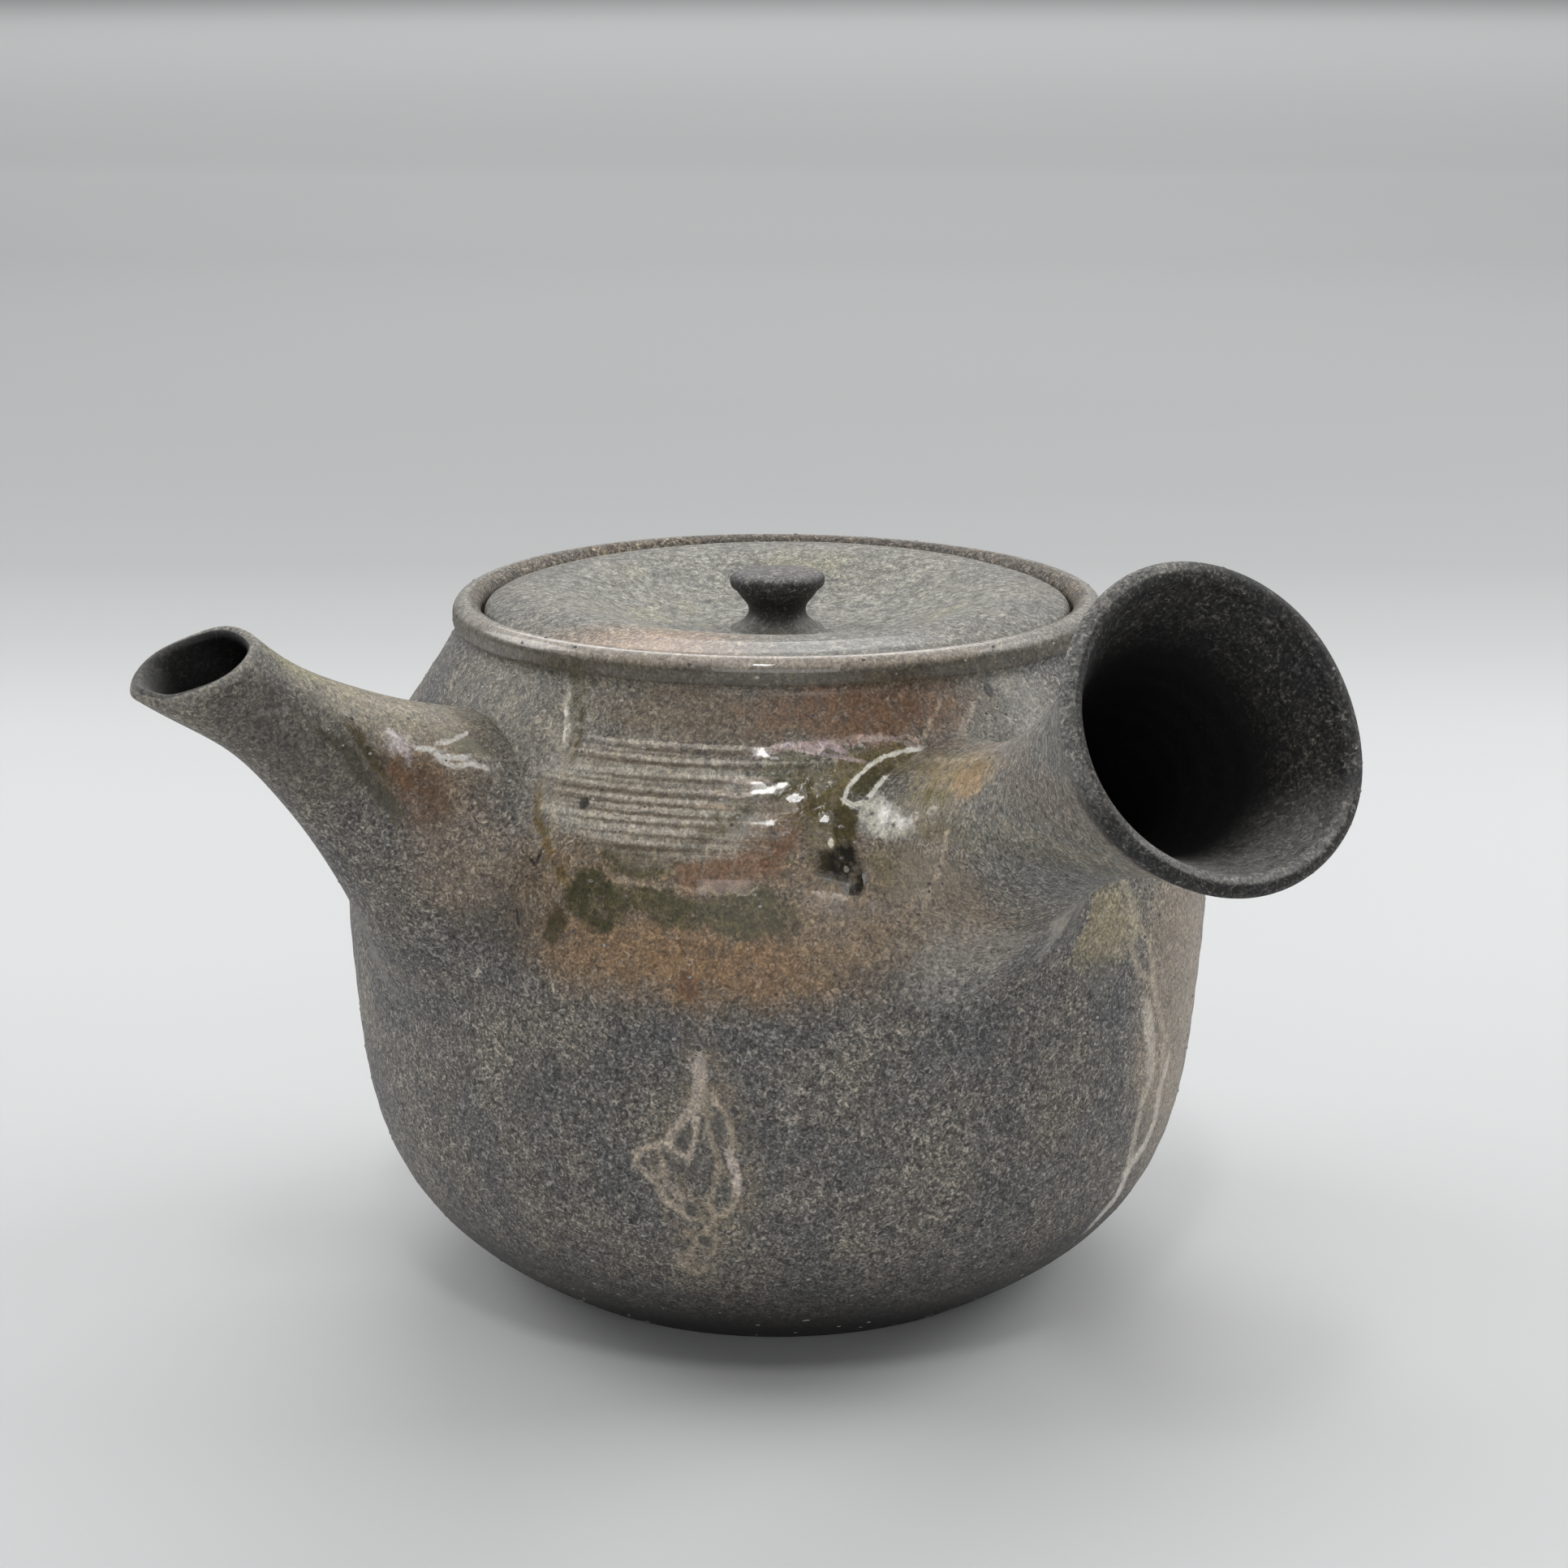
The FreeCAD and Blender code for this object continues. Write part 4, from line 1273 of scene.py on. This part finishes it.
# %% Veins on the belly
vein_runs = [
    ((136, 124, 106), 0.45, 0.10, 2.6, [(-8.6, 38.6), (-6.0, 32.0), (-5.2, 25.0), (-9.0, 18.5)]),
    ((136, 124, 106), 0.40, 0.10, 2.2, [(-9.6, 36.0), (-13.6, 29.0), (-13.0, 24.5), (-10.6, 17.5)]),
    ((190, 178, 168), 0.85, 0.35, 0.75, [(-9.3, 39.3), (-9.2, 37.0)]),
    ((180, 168, 156), 0.75, 0.30, 0.55, [(-9.4, 37.2), (-9.8, 34.6), (-12.1, 31.9), (-13.5, 30.0)]),
    ((176, 164, 150), 0.70, 0.25, 0.42, [
        (-13.5, 30.0), (-17.2, 28.7), (-17.7, 27.2), (-15.1, 25.1), (-14.6, 23.6), (-12.8, 22.2),
        (-10.8, 21.2),
    ]),
    ((184, 172, 158), 0.75, 0.25, 0.36, [(-13.6, 29.8), (-10.9, 28.2), (-10.0, 30.8), (-9.7, 34.0)]),
    ((168, 156, 142), 0.60, 0.25, 0.5, [(-14.4, 27.9), (-14.1, 25.6), (-12.0, 23.6)]),
    ((168, 156, 138), 0.60, 0.25, 0.36, [
        (-8.9, 36.6), (-8.5, 33.0), (-7.9, 30.2), (-7.2, 28.8), (-7.4, 26.0), (-8.3, 23.2), (-8.1, 21.2),
    ]),
    ((172, 160, 142), 0.60, 0.25, 0.42, [(-8.4, 36.0), (-6.2, 33.8), (-5.4, 31.0), (-5.6, 28.4)]),
    ((198, 186, 178), 0.85, 0.35, 0.5, [(-5.6, 28.4), (-4.8, 26.4), (-5.0, 24.6)]),
    ((172, 160, 142), 0.60, 0.25, 0.42, [
        (-5.0, 24.6), (-5.8, 22.7), (-7.4, 21.6), (-9.1, 19.9), (-11.2, 17.5), (-11.9, 15.8),
    ]),
    ((164, 152, 136), 0.50, 0.20, 0.34, [(-8.1, 21.2), (-7.7, 19.2), (-8.6, 16.4)]),
    ((164, 152, 136), 0.50, 0.20, 0.4, [(-13.2, 16.6), (-13.0, 14.8), (-11.6, 13.8), (-8.4, 15.4)]),
    ((168, 160, 142), 0.55, 0.30, 0.7, [(49.2, 54.4), (50.6, 51.5), (50.9, 48.6)]),
    ((164, 152, 132), 0.60, 0.30, 0.5, [
        (50.9, 48.6), (53.6, 46.8), (55.2, 43.9), (55.6, 41.6), (52.4, 42.8), (50.1, 45.9), (50.9, 48.6),
    ]),
    ((176, 162, 146), 0.65, 0.35, 0.6, [(55.6, 41.6), (57.6, 38.0), (61.6, 33.2), (61.7, 29.9)]),
    ((200, 194, 184), 0.80, 0.45, 1.1, [(55.2, 37.4), (57.4, 32.9), (58.0, 29.4)]),
    ((184, 176, 162), 0.65, 0.35, 0.7, [(58.0, 29.4), (56.2, 26.0), (56.3, 21.2), (56.8, 19.0)]),
    ((206, 200, 190), 0.85, 0.50, 0.85, [
        (63.8, 29.5), (62.2, 27.0), (62.6, 23.0), (61.0, 20.4), (57.4, 18.6), (57.4, 14.8), (54.7, 12.4),
    ]),
]
vein_stains = [
    ((150, 140, 112), 0.65, 0.15, 44.5, 49.8, 5.5, 4.2, 0, 0.5),
    ((148, 134, 114), 0.60, 0.15, 66.0, 37.0, 10.0, 19.0, 0, 0.45),
    ((96, 96, 92), 0.60, 0.10, 44.0, 44.6, 2.2, 1.6, 0, 0.4),
    ((92, 91, 88), 0.75, 0.05, -11.6, 30.2, 0.9, 1.4, 0, 0.3),
    ((88, 87, 85), 0.75, 0.05, -7.0, 32.0, 0.8, 1.5, 0, 0.3),
    ((92, 91, 88), 0.75, 0.05, -6.7, 24.4, 0.8, 1.0, 0, 0.3),
    ((76, 75, 72), 0.85, 0.05, -10.9, 22.1, 0.6, 0.6, 0, 0.2),
    ((80, 79, 76), 0.80, 0.05, -9.5, 18.5, 0.6, 0.7, 0, 0.2),
    ((100, 99, 96), 0.60, 0.05, -12.3, 27.2, 1.2, 1.1, 0, 0.3),
    ((98, 97, 94), 0.60, 0.05, -9.4, 27.4, 0.9, 1.5, 0, 0.3),
]
print(f"{len(vein_runs)} veins")

# %% [markdown]
# The body's finish lays these tables over the ground clay, from the oldest to the newest, as the kiln did.
# The rim is worn pale on its crest and brown on its face, and painted shade darkens the wall toward the foot,
# under the belly.

# %% Body finish
wide_veins = 2
comb_patch = (-16.5, 64.9, 14, 5.0, -3, 0.2)
body_pools = [(9, 65, 16, 6.5, 8, 0.3), (-17, 65, 14, 4, 0, 0.3)]


def comb_streaks(finish, colour):
    """Fine level streaks between the comb lines."""
    streaks = finish.noise(finish.stretched((0.03, 0.03, 1.15)), 1.0, 3.0, 0.6)
    stops = [(0.38, shade(104, 92, 76)), (0.5, shade(146, 139, 126)), (0.62, shade(190, 186, 176))]
    return finish.mix(finish.stain(*comb_patch) * 0.55, colour, finish.ramp(streaks, stops))


def rim_wear(finish, colour, wet):
    rim = finish.height.between(75.6, 76.2)
    crest = finish.height.between(77.4, 78.3)
    front = finish.stain(-10, 77, 42, 9, 0, 0.4)
    colour = finish.mix(rim * 0.8, colour, shade(86, 80, 68))
    colour = finish.mix(crest * 0.6, colour, shade(150, 148, 143))
    colour = finish.mix(crest * front * 0.35, colour, shade(196, 180, 164))
    return colour, wet.most(rim * front * 0.6)


def make_body_finish():
    finish = PotSurface("ash_glazed_stoneware")
    colour, grain = ground_clay(finish)
    # Painted shade: the wall darkens toward the ground below the belly, down to the foot.
    foot = finish.height.between(2.0, 19.0)
    colour = finish.mix(1 - foot, colour, shade(32, 31, 30))
    colour, wet = lay_stains(finish, colour, foot * 0.02, far_stains + shoulder_stains_and_painted_highlight)
    colour = comb_streaks(finish, colour)
    colour, wet = lay_runs(finish, colour, wet, shoulder_runs)
    colour, wet = lay_runs(finish, colour, wet, comb_painted_shade_and_highlight_lines + painted_highlights_and_dark_ticks, crisp=True)
    colour, wet = lay_stains(finish, colour, wet, pits_and_painted_glint, crisp=True)
    colour, wet = lay_runs(finish, colour, wet, vein_runs[:wide_veins])
    colour, wet = lay_runs(finish, colour, wet, vein_runs[wide_veins:], crisp=True)
    colour, wet = lay_stains(finish, colour, wet, vein_stains, crisp=True)
    colour, wet = rim_wear(finish, colour, wet)
    colour, wet = bare_inside(finish, colour, wet)
    glaze_over(finish, colour, grain, wet, pools=body_pools)
    return finish.material


dress(body, make_body_finish())

# %% [markdown]
# Where spout and wall meet, both have to show the same colours. So the spout's finish first lays the
# shoulder's nearest stains as the body does, then its own along the horn, and lets its own fade out where the
# mesh says that it is joined. One of its runs is a painted highlight, and a table of painted highlights of
# the wet glaze, with two dark runs in it, goes on after the fade. Its bore is black with smoke and painted
# shade, paler just inside the mouth with painted light, and its lip is worn.

# %% Spout finish
# Colour, cover, glass, distance along, turn, half length, half width, tilt, softness
spout_stains = [
    ((72, 68, 64), 0.55, 0.00, 23.0, -98, 12, 8.0, 0, 0.5),
    ((152, 142, 122), 0.60, 0.08, 11.0, -24, 10, 5.5, 0, 0.5),
    ((144, 138, 118), 0.50, 0.08, 19.0, -32, 8, 3.6, 0, 0.5),
    ((150, 148, 114), 0.45, 0.10, 25.0, -18, 5, 3.0, 0, 0.5),
    ((136, 118, 100), 0.45, 0.10, 3.0, -78, 7, 6.5, 0, 0.5),
    ((98, 72, 50), 0.85, 0.30, 9.0, -80, 3.9, 3.0, 20, 0.5),
    ((110, 106, 76), 0.75, 0.95, 5.5, -47, 3.4, 1.3, 0, 0.3),
    ((216, 206, 206), 0.70, 0.80, 12.0, -57, 1.5, 1.3, 0, 0.6),
    ((206, 198, 192), 0.55, 0.90, 1.5, -52, 2.2, 0.8, 0, 0.6),
]
spout_runs_and_painted_streak = [
    ((74, 66, 44), 0.85, 0.70, 0.75, [(18.0, -60), (15.0, -78), (11.6, -94), (9.2, -106)]),
    # Painted highlight: a pale streak that stands for the lamps' reflection on the wet glass.
    ((216, 210, 202), 0.65, 0.95, 0.3, [(9.5, -58), (6.5, -54), (3.0, -56), (-0.5, -50)]),
    ((150, 142, 128), 0.55, 0.10, 0.6, [(-6.2, -172), (-8.6, -150), (-8.0, -134), (-6.5, -122)]),
]
spout_painted_highlights_and_dark_runs = [
    # Painted highlights of the wet glaze, then two dark runs of the pot's own colour.
    ((190, 182, 186), 0.60, 0.50, 0.5, [(13.0, -56), (12.0, -59), (11.0, -68)]),
    ((226, 224, 222), 0.85, 0.90, 0.28, [(10.0, -59), (8.5, -56), (7.5, -59), (6.0, -56), (5.0, -53)]),
    ((222, 216, 212), 0.80, 0.90, 0.25, [(8.0, -50), (6.5, -44), (5.0, -35)]),
    ((226, 222, 216), 0.85, 0.90, 0.24, [(7.5, -62), (6.0, -62), (4.5, -56), (3.0, -56)]),
    ((62, 58, 44), 0.75, 0.20, 0.8, [(19.5, -86), (16.5, -86), (14.5, -98), (12.0, -101), (10.5, -104)]),
    ((52, 50, 46), 0.85, 0.10, 0.28, [(1.5, 4), (1.0, 4)]),
]
spout_pools = [(-44.5, 68.5, 6, 2.2, 0, 0.3)]


def near_stains(left, right, wide=20):
    """Rows of the shoulder's stains and painted highlight that lie left of one bearing or right of the other,
    and the wide ones.
    """
    return [row for row in shoulder_stains_and_painted_highlight if row[3] < left or row[3] > right or row[5] > wide]


def make_spout_finish():
    finish = HornSurface("smoked_spout_clay", spout)
    colour, grain = ground_clay(finish)
    dry = finish.height * 0.0
    wall_colour, wall_wet = lay_stains(finish, colour, dry, near_stains(-30, 360))
    finish.onto_horn()
    colour, wet = lay_stains(finish, wall_colour, wall_wet, spout_stains)
    colour, wet = lay_runs(finish, colour, wet, spout_runs_and_painted_streak)
    colour, wet = fade_to_wall(finish, colour, wet, wall_colour, wall_wet)
    colour, wet = lay_runs(finish, colour, wet, spout_painted_highlights_and_dark_runs, crisp=True)
    colour = finish.mix(finish.mark("lip") * 0.7, colour, shade(128, 125, 118))
    colour, wet = bare_inside(finish, colour, wet, smoke_and_shade_bore_stops)
    # Painted light: the bore is paler just inside the mouth, where light reaches in.
    mouth = finish.mark("inside") * finish.along_horn.between(32.0, 37.5)
    colour = finish.mix(mouth * 0.7, colour, shade(92, 91, 88))
    glaze_over(finish, colour, grain, wet, 0.6, pools=spout_pools)
    return finish.material


dress(spout_skin, make_spout_finish())

# %% [markdown]
# The handle stood away from the ash. Its neck is pale and speckled, it has a little glaze on the side toward
# the fire, and smoke blackened its mouth; the dark band round the lip is that smoke together with painted
# shade on the lip's lower roll. Inside, painted shade makes the bore darker the deeper it goes, and a painted
# patch of light sits only on the lower side just behind the lip.

# %% Handle finish
# Colour, cover, glass, distance along, turn, half length, half width, tilt, softness
handle_stains = [
    ((146, 136, 122), 0.60, 0.10, 2.5, 88, 7.5, 9.0, 0, 0.5),
    ((170, 156, 124), 0.60, 0.70, 8.0, 42, 9.0, 2.6, 8, 0.45),
    ((164, 132, 92), 0.65, 0.45, 12.0, 55, 3.2, 1.8, 0, 0.6),
    ((116, 108, 70), 0.80, 0.90, 5.0, 62, 5.0, 1.2, 4, 0.3),
    ((118, 108, 84), 0.65, 0.80, 0.5, 94, 3.0, 2.2, 0, 0.35),
    ((200, 196, 186), 0.70, 0.90, -1.5, 68, 1.8, 1.4, 30, 0.4),
    ((152, 146, 136), 0.55, 0.15, -1.0, 152, 5.0, 12.0, 0, 0.5),
    ((208, 204, 196), 0.70, 0.80, 3.5, -160, 4.5, 1.2, 0, 0.6),
]
handle_runs = [
    ((202, 192, 174), 0.60, 0.80, 0.3, [(0.0, 26), (5.0, 30), (9.5, 31), (14.5, 40)]),
    ((190, 174, 156), 0.60, 0.60, 0.3, [(9.0, 84), (7.0, 98), (4.5, 110), (1.0, 115), (-2.5, 112)]),
]


def smoked_bore_with_painted_light(finish, colour, smoke):
    """Smoke-dark inside, with painted shade toward the far end of the bore and a painted patch of light low
    down behind the lip.
    """
    painted_deep_shade = finish.along_horn.between(43.2, 35.0)
    painted_light_behind_lip = finish.along_horn.between(33.0, 42.0) * finish.above_axis.between(-4.0, -12.0)
    smoke = finish.mix(painted_deep_shade * 0.97, smoke, shade(1.5, 1.5, 1.5))
    smoke = finish.mix(painted_light_behind_lip * 0.75, smoke, shade(124, 123, 121))
    return finish.mix(finish.mark("inside"), colour, smoke)


def make_handle_finish():
    finish = HornSurface("smoked_handle_clay", handle)
    colour, grain = ground_clay(finish)
    dry = finish.height * 0.0
    wall_colour, wall_wet = lay_stains(finish, colour, dry, near_stains(-360, 4))
    wall_colour, wall_wet = lay_stains(finish, wall_colour, wall_wet, pits_and_painted_glint[:1], crisp=True)
    along = finish.along_horn
    pale = finish.mix(0.5, colour, shade(140, 141, 138))
    colour = finish.mix(along.between(4.0, 14.0) * 0.75, wall_colour, pale)
    wet = wall_wet * along.between(13.0, 5.0)
    finish.onto_horn()
    colour, wet = lay_stains(finish, colour, wet, handle_stains)
    colour, wet = lay_runs(finish, colour, wet, handle_runs)
    colour, wet = fade_to_wall(finish, colour, wet, wall_colour, wall_wet)
    smoke, _ = ground_clay(finish, smoke_stops)
    pale_side = finish.stain(45, 50, 9, 8, field=finish.horn_label)
    # Smoke and painted shade: a dark band on the lip's lower roll near the mouth.
    colour = finish.mix(along.between(38.5, 43.0) * (1 - pale_side * 0.75), colour, smoke)
    colour = smoked_bore_with_painted_light(finish, colour, smoke)
    glaze_over(finish, colour, grain, wet * (1 - finish.mark("inside")), 0.66)
    return finish.material


dress(handle_skin, make_handle_finish())

# %% [markdown]
# Dry ash fell on the lid and lies in small cells, thickest in the dish, with a blush at the front edge.
# Voronoi cells give such islands, where noise would only give clouds. The knob stayed dark, with a paler
# crown, and painted shade darkens its neck under the cap.

# %% Lid and knob finishes


def make_lid_finish():
    finish = PotSurface("ash_dusted_lid_clay")
    colour, grain = ground_clay(finish)
    radius = finish.length(finish.stretched((1.0, 1.0, 0.0)))
    cells = finish.add("ShaderNodeTexVoronoi", {"feature": "F1"}, {"Vector": finish.wavy, "Scale": 0.85})
    ash_stops = [(0.1, shade(157, 157, 149)), (0.42, shade(138, 138, 130)), (0.8, shade(108, 108, 102))]
    cover = radius.between(28.5, 24.0) * 0.35 + 0.45
    colour = finish.mix(cover, colour, finish.ramp(cells, ash_stops))
    olive = finish.noise(finish.place, 0.09, 3.0, 0.6).between(0.5, 0.66) * radius.between(27.0, 20.0)
    colour = finish.mix(olive * 0.3, colour, shade(160, 153, 122))
    toward = finish.dot(finish.place, to_camera)
    across = finish.dot(finish.place, to_right)
    blush = toward.between(18.0, 29.0) * across.between(2.0, -14.0)
    colour = finish.mix(blush * 0.55, colour, shade(186, 152, 124))
    wet = toward.between(22.0, 31.0) * radius.between(27.0, 30.0) * 0.5
    colour, wet = bare_inside(finish, colour, wet)
    glaze_over(finish, colour, grain, wet, 0.6)
    return finish.material


def make_knob_finish():
    finish = PotSurface("dark_knob_clay")
    smoke, grain = ground_clay(finish, smoke_stops)
    top, _ = ground_clay(finish)
    crown = finish.height.between(80.2, 81.0)
    # Painted shade: the neck under the cap darkens toward near black.
    painted_shade_under_cap = finish.height.between(79.0, 78.2)
    foot = finish.height.between(76.2, 75.0)
    colour = finish.mix(crown * 0.8, smoke, finish.mix(0.4, top, shade(108, 105, 108)))
    colour = finish.mix(painted_shade_under_cap * 0.5, colour, shade(12, 10, 9))
    colour = finish.mix(foot * 0.8, colour, shade(104, 102, 96))
    glaze_over(finish, colour, grain, foot * 0.02, 0.6)
    return finish.material


dress(lid, make_lid_finish())
dress(knob, make_knob_finish())

# %% [markdown]
# The strainer and the collar under the lid keep their CAD shapes. They get bare clay with a brown
# tinge of tea, which shows when the lid is lifted.

# %% Inner clay


def make_inner_finish():
    finish = PotSurface("bare_inner_clay")
    colour, grain = ground_clay(finish, inner_stops)
    tea = finish.noise(finish.place, 0.2, 3.0, 0.6)
    colour = finish.mix(tea.between(0.45, 0.65) * 0.35, colour, shade(92, 76, 60))
    glaze_over(finish, colour, grain, tea * 0.02, 0.7, 0.05)
    return finish.material


inner_finish = make_inner_finish()
for node in ("strainer", "lid_flange"):
    dress(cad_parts[node], inner_finish)

# %% [markdown]
# Some of the grit stands out of the clay as real grains. They are scattered by Geometry Nodes, since
# a rule and a seed place thousands of them at no cost, and only on the outside of the wall. The
# grains are flat and sunk into the clay, so that they catch light and still look like part of it.

# %% Grit standing out of the wall
grain_radius = 0.17
grain_flatness = 0.4


def make_grit_finish():
    finish = PotSurface("standing_feldspar")
    kinds = finish.noise(finish.place, 1.3, 1.0)
    stops = [(0.40, shade(70, 68, 64)), (0.5, shade(118, 115, 109)), (0.62, shade(164, 160, 151))]
    finish.set(Base_Color=finish.ramp(kinds, stops), Roughness=0.45)
    return finish.material


def make_grit_tree(material):
    """Flat grains scattered over the wall where it isn't inside."""
    inputs = {
        "Wall": "Geometry", "Grains per square metre": "Float", "Grain radius": "Float", "Flatness": "Float",
        "Seed": "Int",
    }
    sheet, given, made = make_group("standing_grit", inputs, {"Grains": "Geometry"}, "GeometryNodeTree")
    inside = sheet.add("GeometryNodeInputNamedAttribute", {"data_type": "FLOAT"}, {"Name": "inside"})
    settings = {"data_type": "FLOAT", "operation": "LESS_THAN"}
    outer = sheet.add("FunctionNodeCompare", settings, [inside, 0.01])
    values = {
        "Mesh": given["Wall"], "Selection": outer, "Density": given["Grains per square metre"],
        "Seed": given["Seed"],
    }
    points = sheet.add("GeometryNodeDistributePointsOnFaces", {}, values, "Points")
    turned = Signal(sheet, points.socket.node.outputs["Rotation"])
    values = {"Radius": given["Grain radius"], "Subdivisions": 1}
    grain = sheet.add("GeometryNodeMeshIcoSphere", {}, values, "Mesh")
    values = {2: 0.5, 3: 1.6, "Seed": given["Seed"]}
    sizes = sheet.add("FunctionNodeRandomValue", {"data_type": "FLOAT"}, values, 1)
    shape = sheet.add("ShaderNodeCombineXYZ", {}, [1.3, 0.9, given["Flatness"]])
    scale = sheet.add("ShaderNodeVectorMath", {"operation": "SCALE"}, {0: shape, "Scale": sizes})
    values = {"Points": points, "Instance": grain, "Rotation": turned, "Scale": scale}
    grains = sheet.add("GeometryNodeInstanceOnPoints", {}, values)
    real = sheet.add("GeometryNodeRealizeInstances", {}, [grains])
    coated = sheet.add("GeometryNodeSetMaterial", {}, {"Geometry": real, "Material": material})
    sheet.feed(made["Grains"], coated)
    return sheet.tree


def grit_on(piece, name, material, density, seed):
    """Plain mesh of the grains that stand out of a piece."""
    holder = bpy.data.objects.new(name, piece.data.copy())
    bpy.context.scene.collection.objects.link(holder)
    modifier = holder.modifiers.new("grit", "NODES")
    modifier.node_group = make_grit_tree(material)
    wanted = {
        "Grains per square metre": float(density), "Grain radius": grain_radius * MM,
        "Flatness": grain_flatness, "Seed": seed,
    }
    for socket in modifier.node_group.interface.items_tree:
        if socket.name in wanted:
            modifier[socket.identifier] = wanted[socket.name]
    made_plain(holder)
    print(f"{name}: {len(holder.data.polygons)} faces")
    return holder


grit_finish = make_grit_finish()
body_grit = grit_on(body, "body_grit", grit_finish, 70000, 11)
handle_grit = grit_on(handle_skin, "handle_grit", grit_finish, 60000, 12)
spout_grit = grit_on(spout_skin, "spout_grit", grit_finish, 60000, 13)

# %% [markdown]
# The pot stands on a pale sweep of paper whose tone changes with the distance behind the pot, as painted
# light and shade: much the same close to the pot, dimmer from about a third of a metre to a metre behind it,
# and paler again further off. A gradient of light could do that too, but then a change of lamp would move it,
# so it is a ramp in the paper's colour.

# %% Floor
floor_radius = 9.0
# Distance behind the pot in millimetres, and the paper's tone there, painted light and shade included
floor_tones_with_painted_light = [
    (-120, 197), (-45, 206), (20, 199), (45, 196), (115, 200), (205, 199), (265, 194), (340, 178),
    (430, 163), (545, 160), (700, 162), (910, 169), (1220, 179), (1730, 212), (2700, 222), (5300, 253),
]


def share_behind(distance):
    """Share of the way from the first tone's place to the last one's, for a number or a signal."""
    nearest, furthest = floor_tones_with_painted_light[0][0], floor_tones_with_painted_light[-1][0]
    return (distance - nearest) / (furthest - nearest)


def make_floor():
    mesh = bpy.data.meshes.new("floor")
    work = bmesh.new()
    bmesh.ops.create_circle(work, cap_ends=True, segments=96, radius=floor_radius)
    work.to_mesh(mesh)
    work.free()
    floor = bpy.data.objects.new("floor", mesh)
    bpy.context.scene.collection.objects.link(floor)
    finish = PotSurface("pale_sweep")
    behind = finish.dot(finish.place, -to_camera)
    stops = [(share_behind(distance), shade(tone, tone + 0.7, tone + 1.4)) for distance, tone in floor_tones_with_painted_light]
    finish.set(Base_Color=finish.ramp(share_behind(behind), stops), Roughness=0.6)
    mesh.materials.append(finish.material)
    print(f"floor: {2 * floor_radius:.0f} m across")


make_floor()

# %% [markdown]
# A wide, soft lamp hangs behind the pot, as in a small product studio. One big lamp alone would leave
# the sides of the pot flat, so smaller ones stand behind, at both sides and in front, and each draws
# its own soft edge. A very small lamp above the camera gives the bright glints on the wet glaze. The
# camera doesn't see the lamps.

# %% Light
world_strength = 0.20
pot_middle = (0, 0, 0.045)
# Place in metres toward the camera, to its right and up, then width and height, and power
ceiling_lamp = ((-3.0, 0.0, 2.8), (6.5, 6.5), 110.0)
pot_lamps = {
    "back": ((-1.15, 0.1, 0.95), (1.2, 0.6), 4.8),
    "left_behind": ((-0.3, -0.85, 0.6), (0.6, 0.6), 5.2),
    "right_behind": ((-0.3, 0.85, 0.6), (0.6, 0.6), 5.8),
    "front": ((1.3, 0.0, 0.4), (1.0, 0.5), 4.3),
    "glint": ((0.45, -0.05, 0.8), (0.08, 0.16), 1.0),
}


def around_pot(toward, right, up):
    """Place in metres, given in metres toward the camera, to its right, and up."""
    place = to_camera * toward + to_right * right
    return Vector((place[0], place[1], up))


def area_light(name, place, target, size, power):
    data = bpy.data.lights.new(name, "AREA")
    data.shape = "RECTANGLE"
    data.size, data.size_y = size
    data.energy = power
    lamp = bpy.data.objects.new(name, data)
    lamp.location = place
    lamp.rotation_euler = (Vector(target) - place).to_track_quat("-Z", "Y").to_euler()
    lamp.visible_camera = False
    bpy.context.scene.collection.objects.link(lamp)
    print(f"{name}: {power} W")


def make_world():
    """Faint even light from all around, which keeps the shadow soft."""
    world = bpy.data.worlds.new("studio")
    bpy.context.scene.world = world
    world.use_nodes = True
    light = world.node_tree.nodes["Background"]
    light.inputs["Color"].default_value = shade(228, 229, 230)
    light.inputs["Strength"].default_value = world_strength


place, size, power = ceiling_lamp
area_light("ceiling", around_pot(*place), around_pot(place[0], place[1], 0.0), size, power)
for name, (place, size, power) in pot_lamps.items():
    area_light(name, around_pot(*place), pot_middle, size, power)
make_world()
bpy.context.scene.view_settings.view_transform = "Standard"

# %% [markdown]
# Last, every skin is tied to the moving body that it belongs to, and the CAD pieces that it takes the place
# of are hidden. The lid and the knob ride on the lid's body, so they rise together when it is lifted.

# %% Pieces and bodies
for piece, body_name, slot, nodes in (
    (body, "pot", "ash_glazed_body", ["body_shell"]),
    (spout_skin, "pot", "ash_glazed_body", ["spout", "spout_root_clay"]),
    (handle_skin, "pot", "smoked_handle_clay", ["handle", "handle_root_clay"]),
    (body_grit, "pot", "ash_glazed_body", []),
    (spout_grit, "pot", "ash_glazed_body", []),
    (handle_grit, "pot", "smoked_handle_clay", []),
    (lid, "lid", "ash_dusted_lid", ["lid_plate"]),
    (knob, "lid", "dark_knob_clay", ["lid_knob"]),
):
    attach(piece, body_name)
    if nodes:
        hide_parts(*nodes)
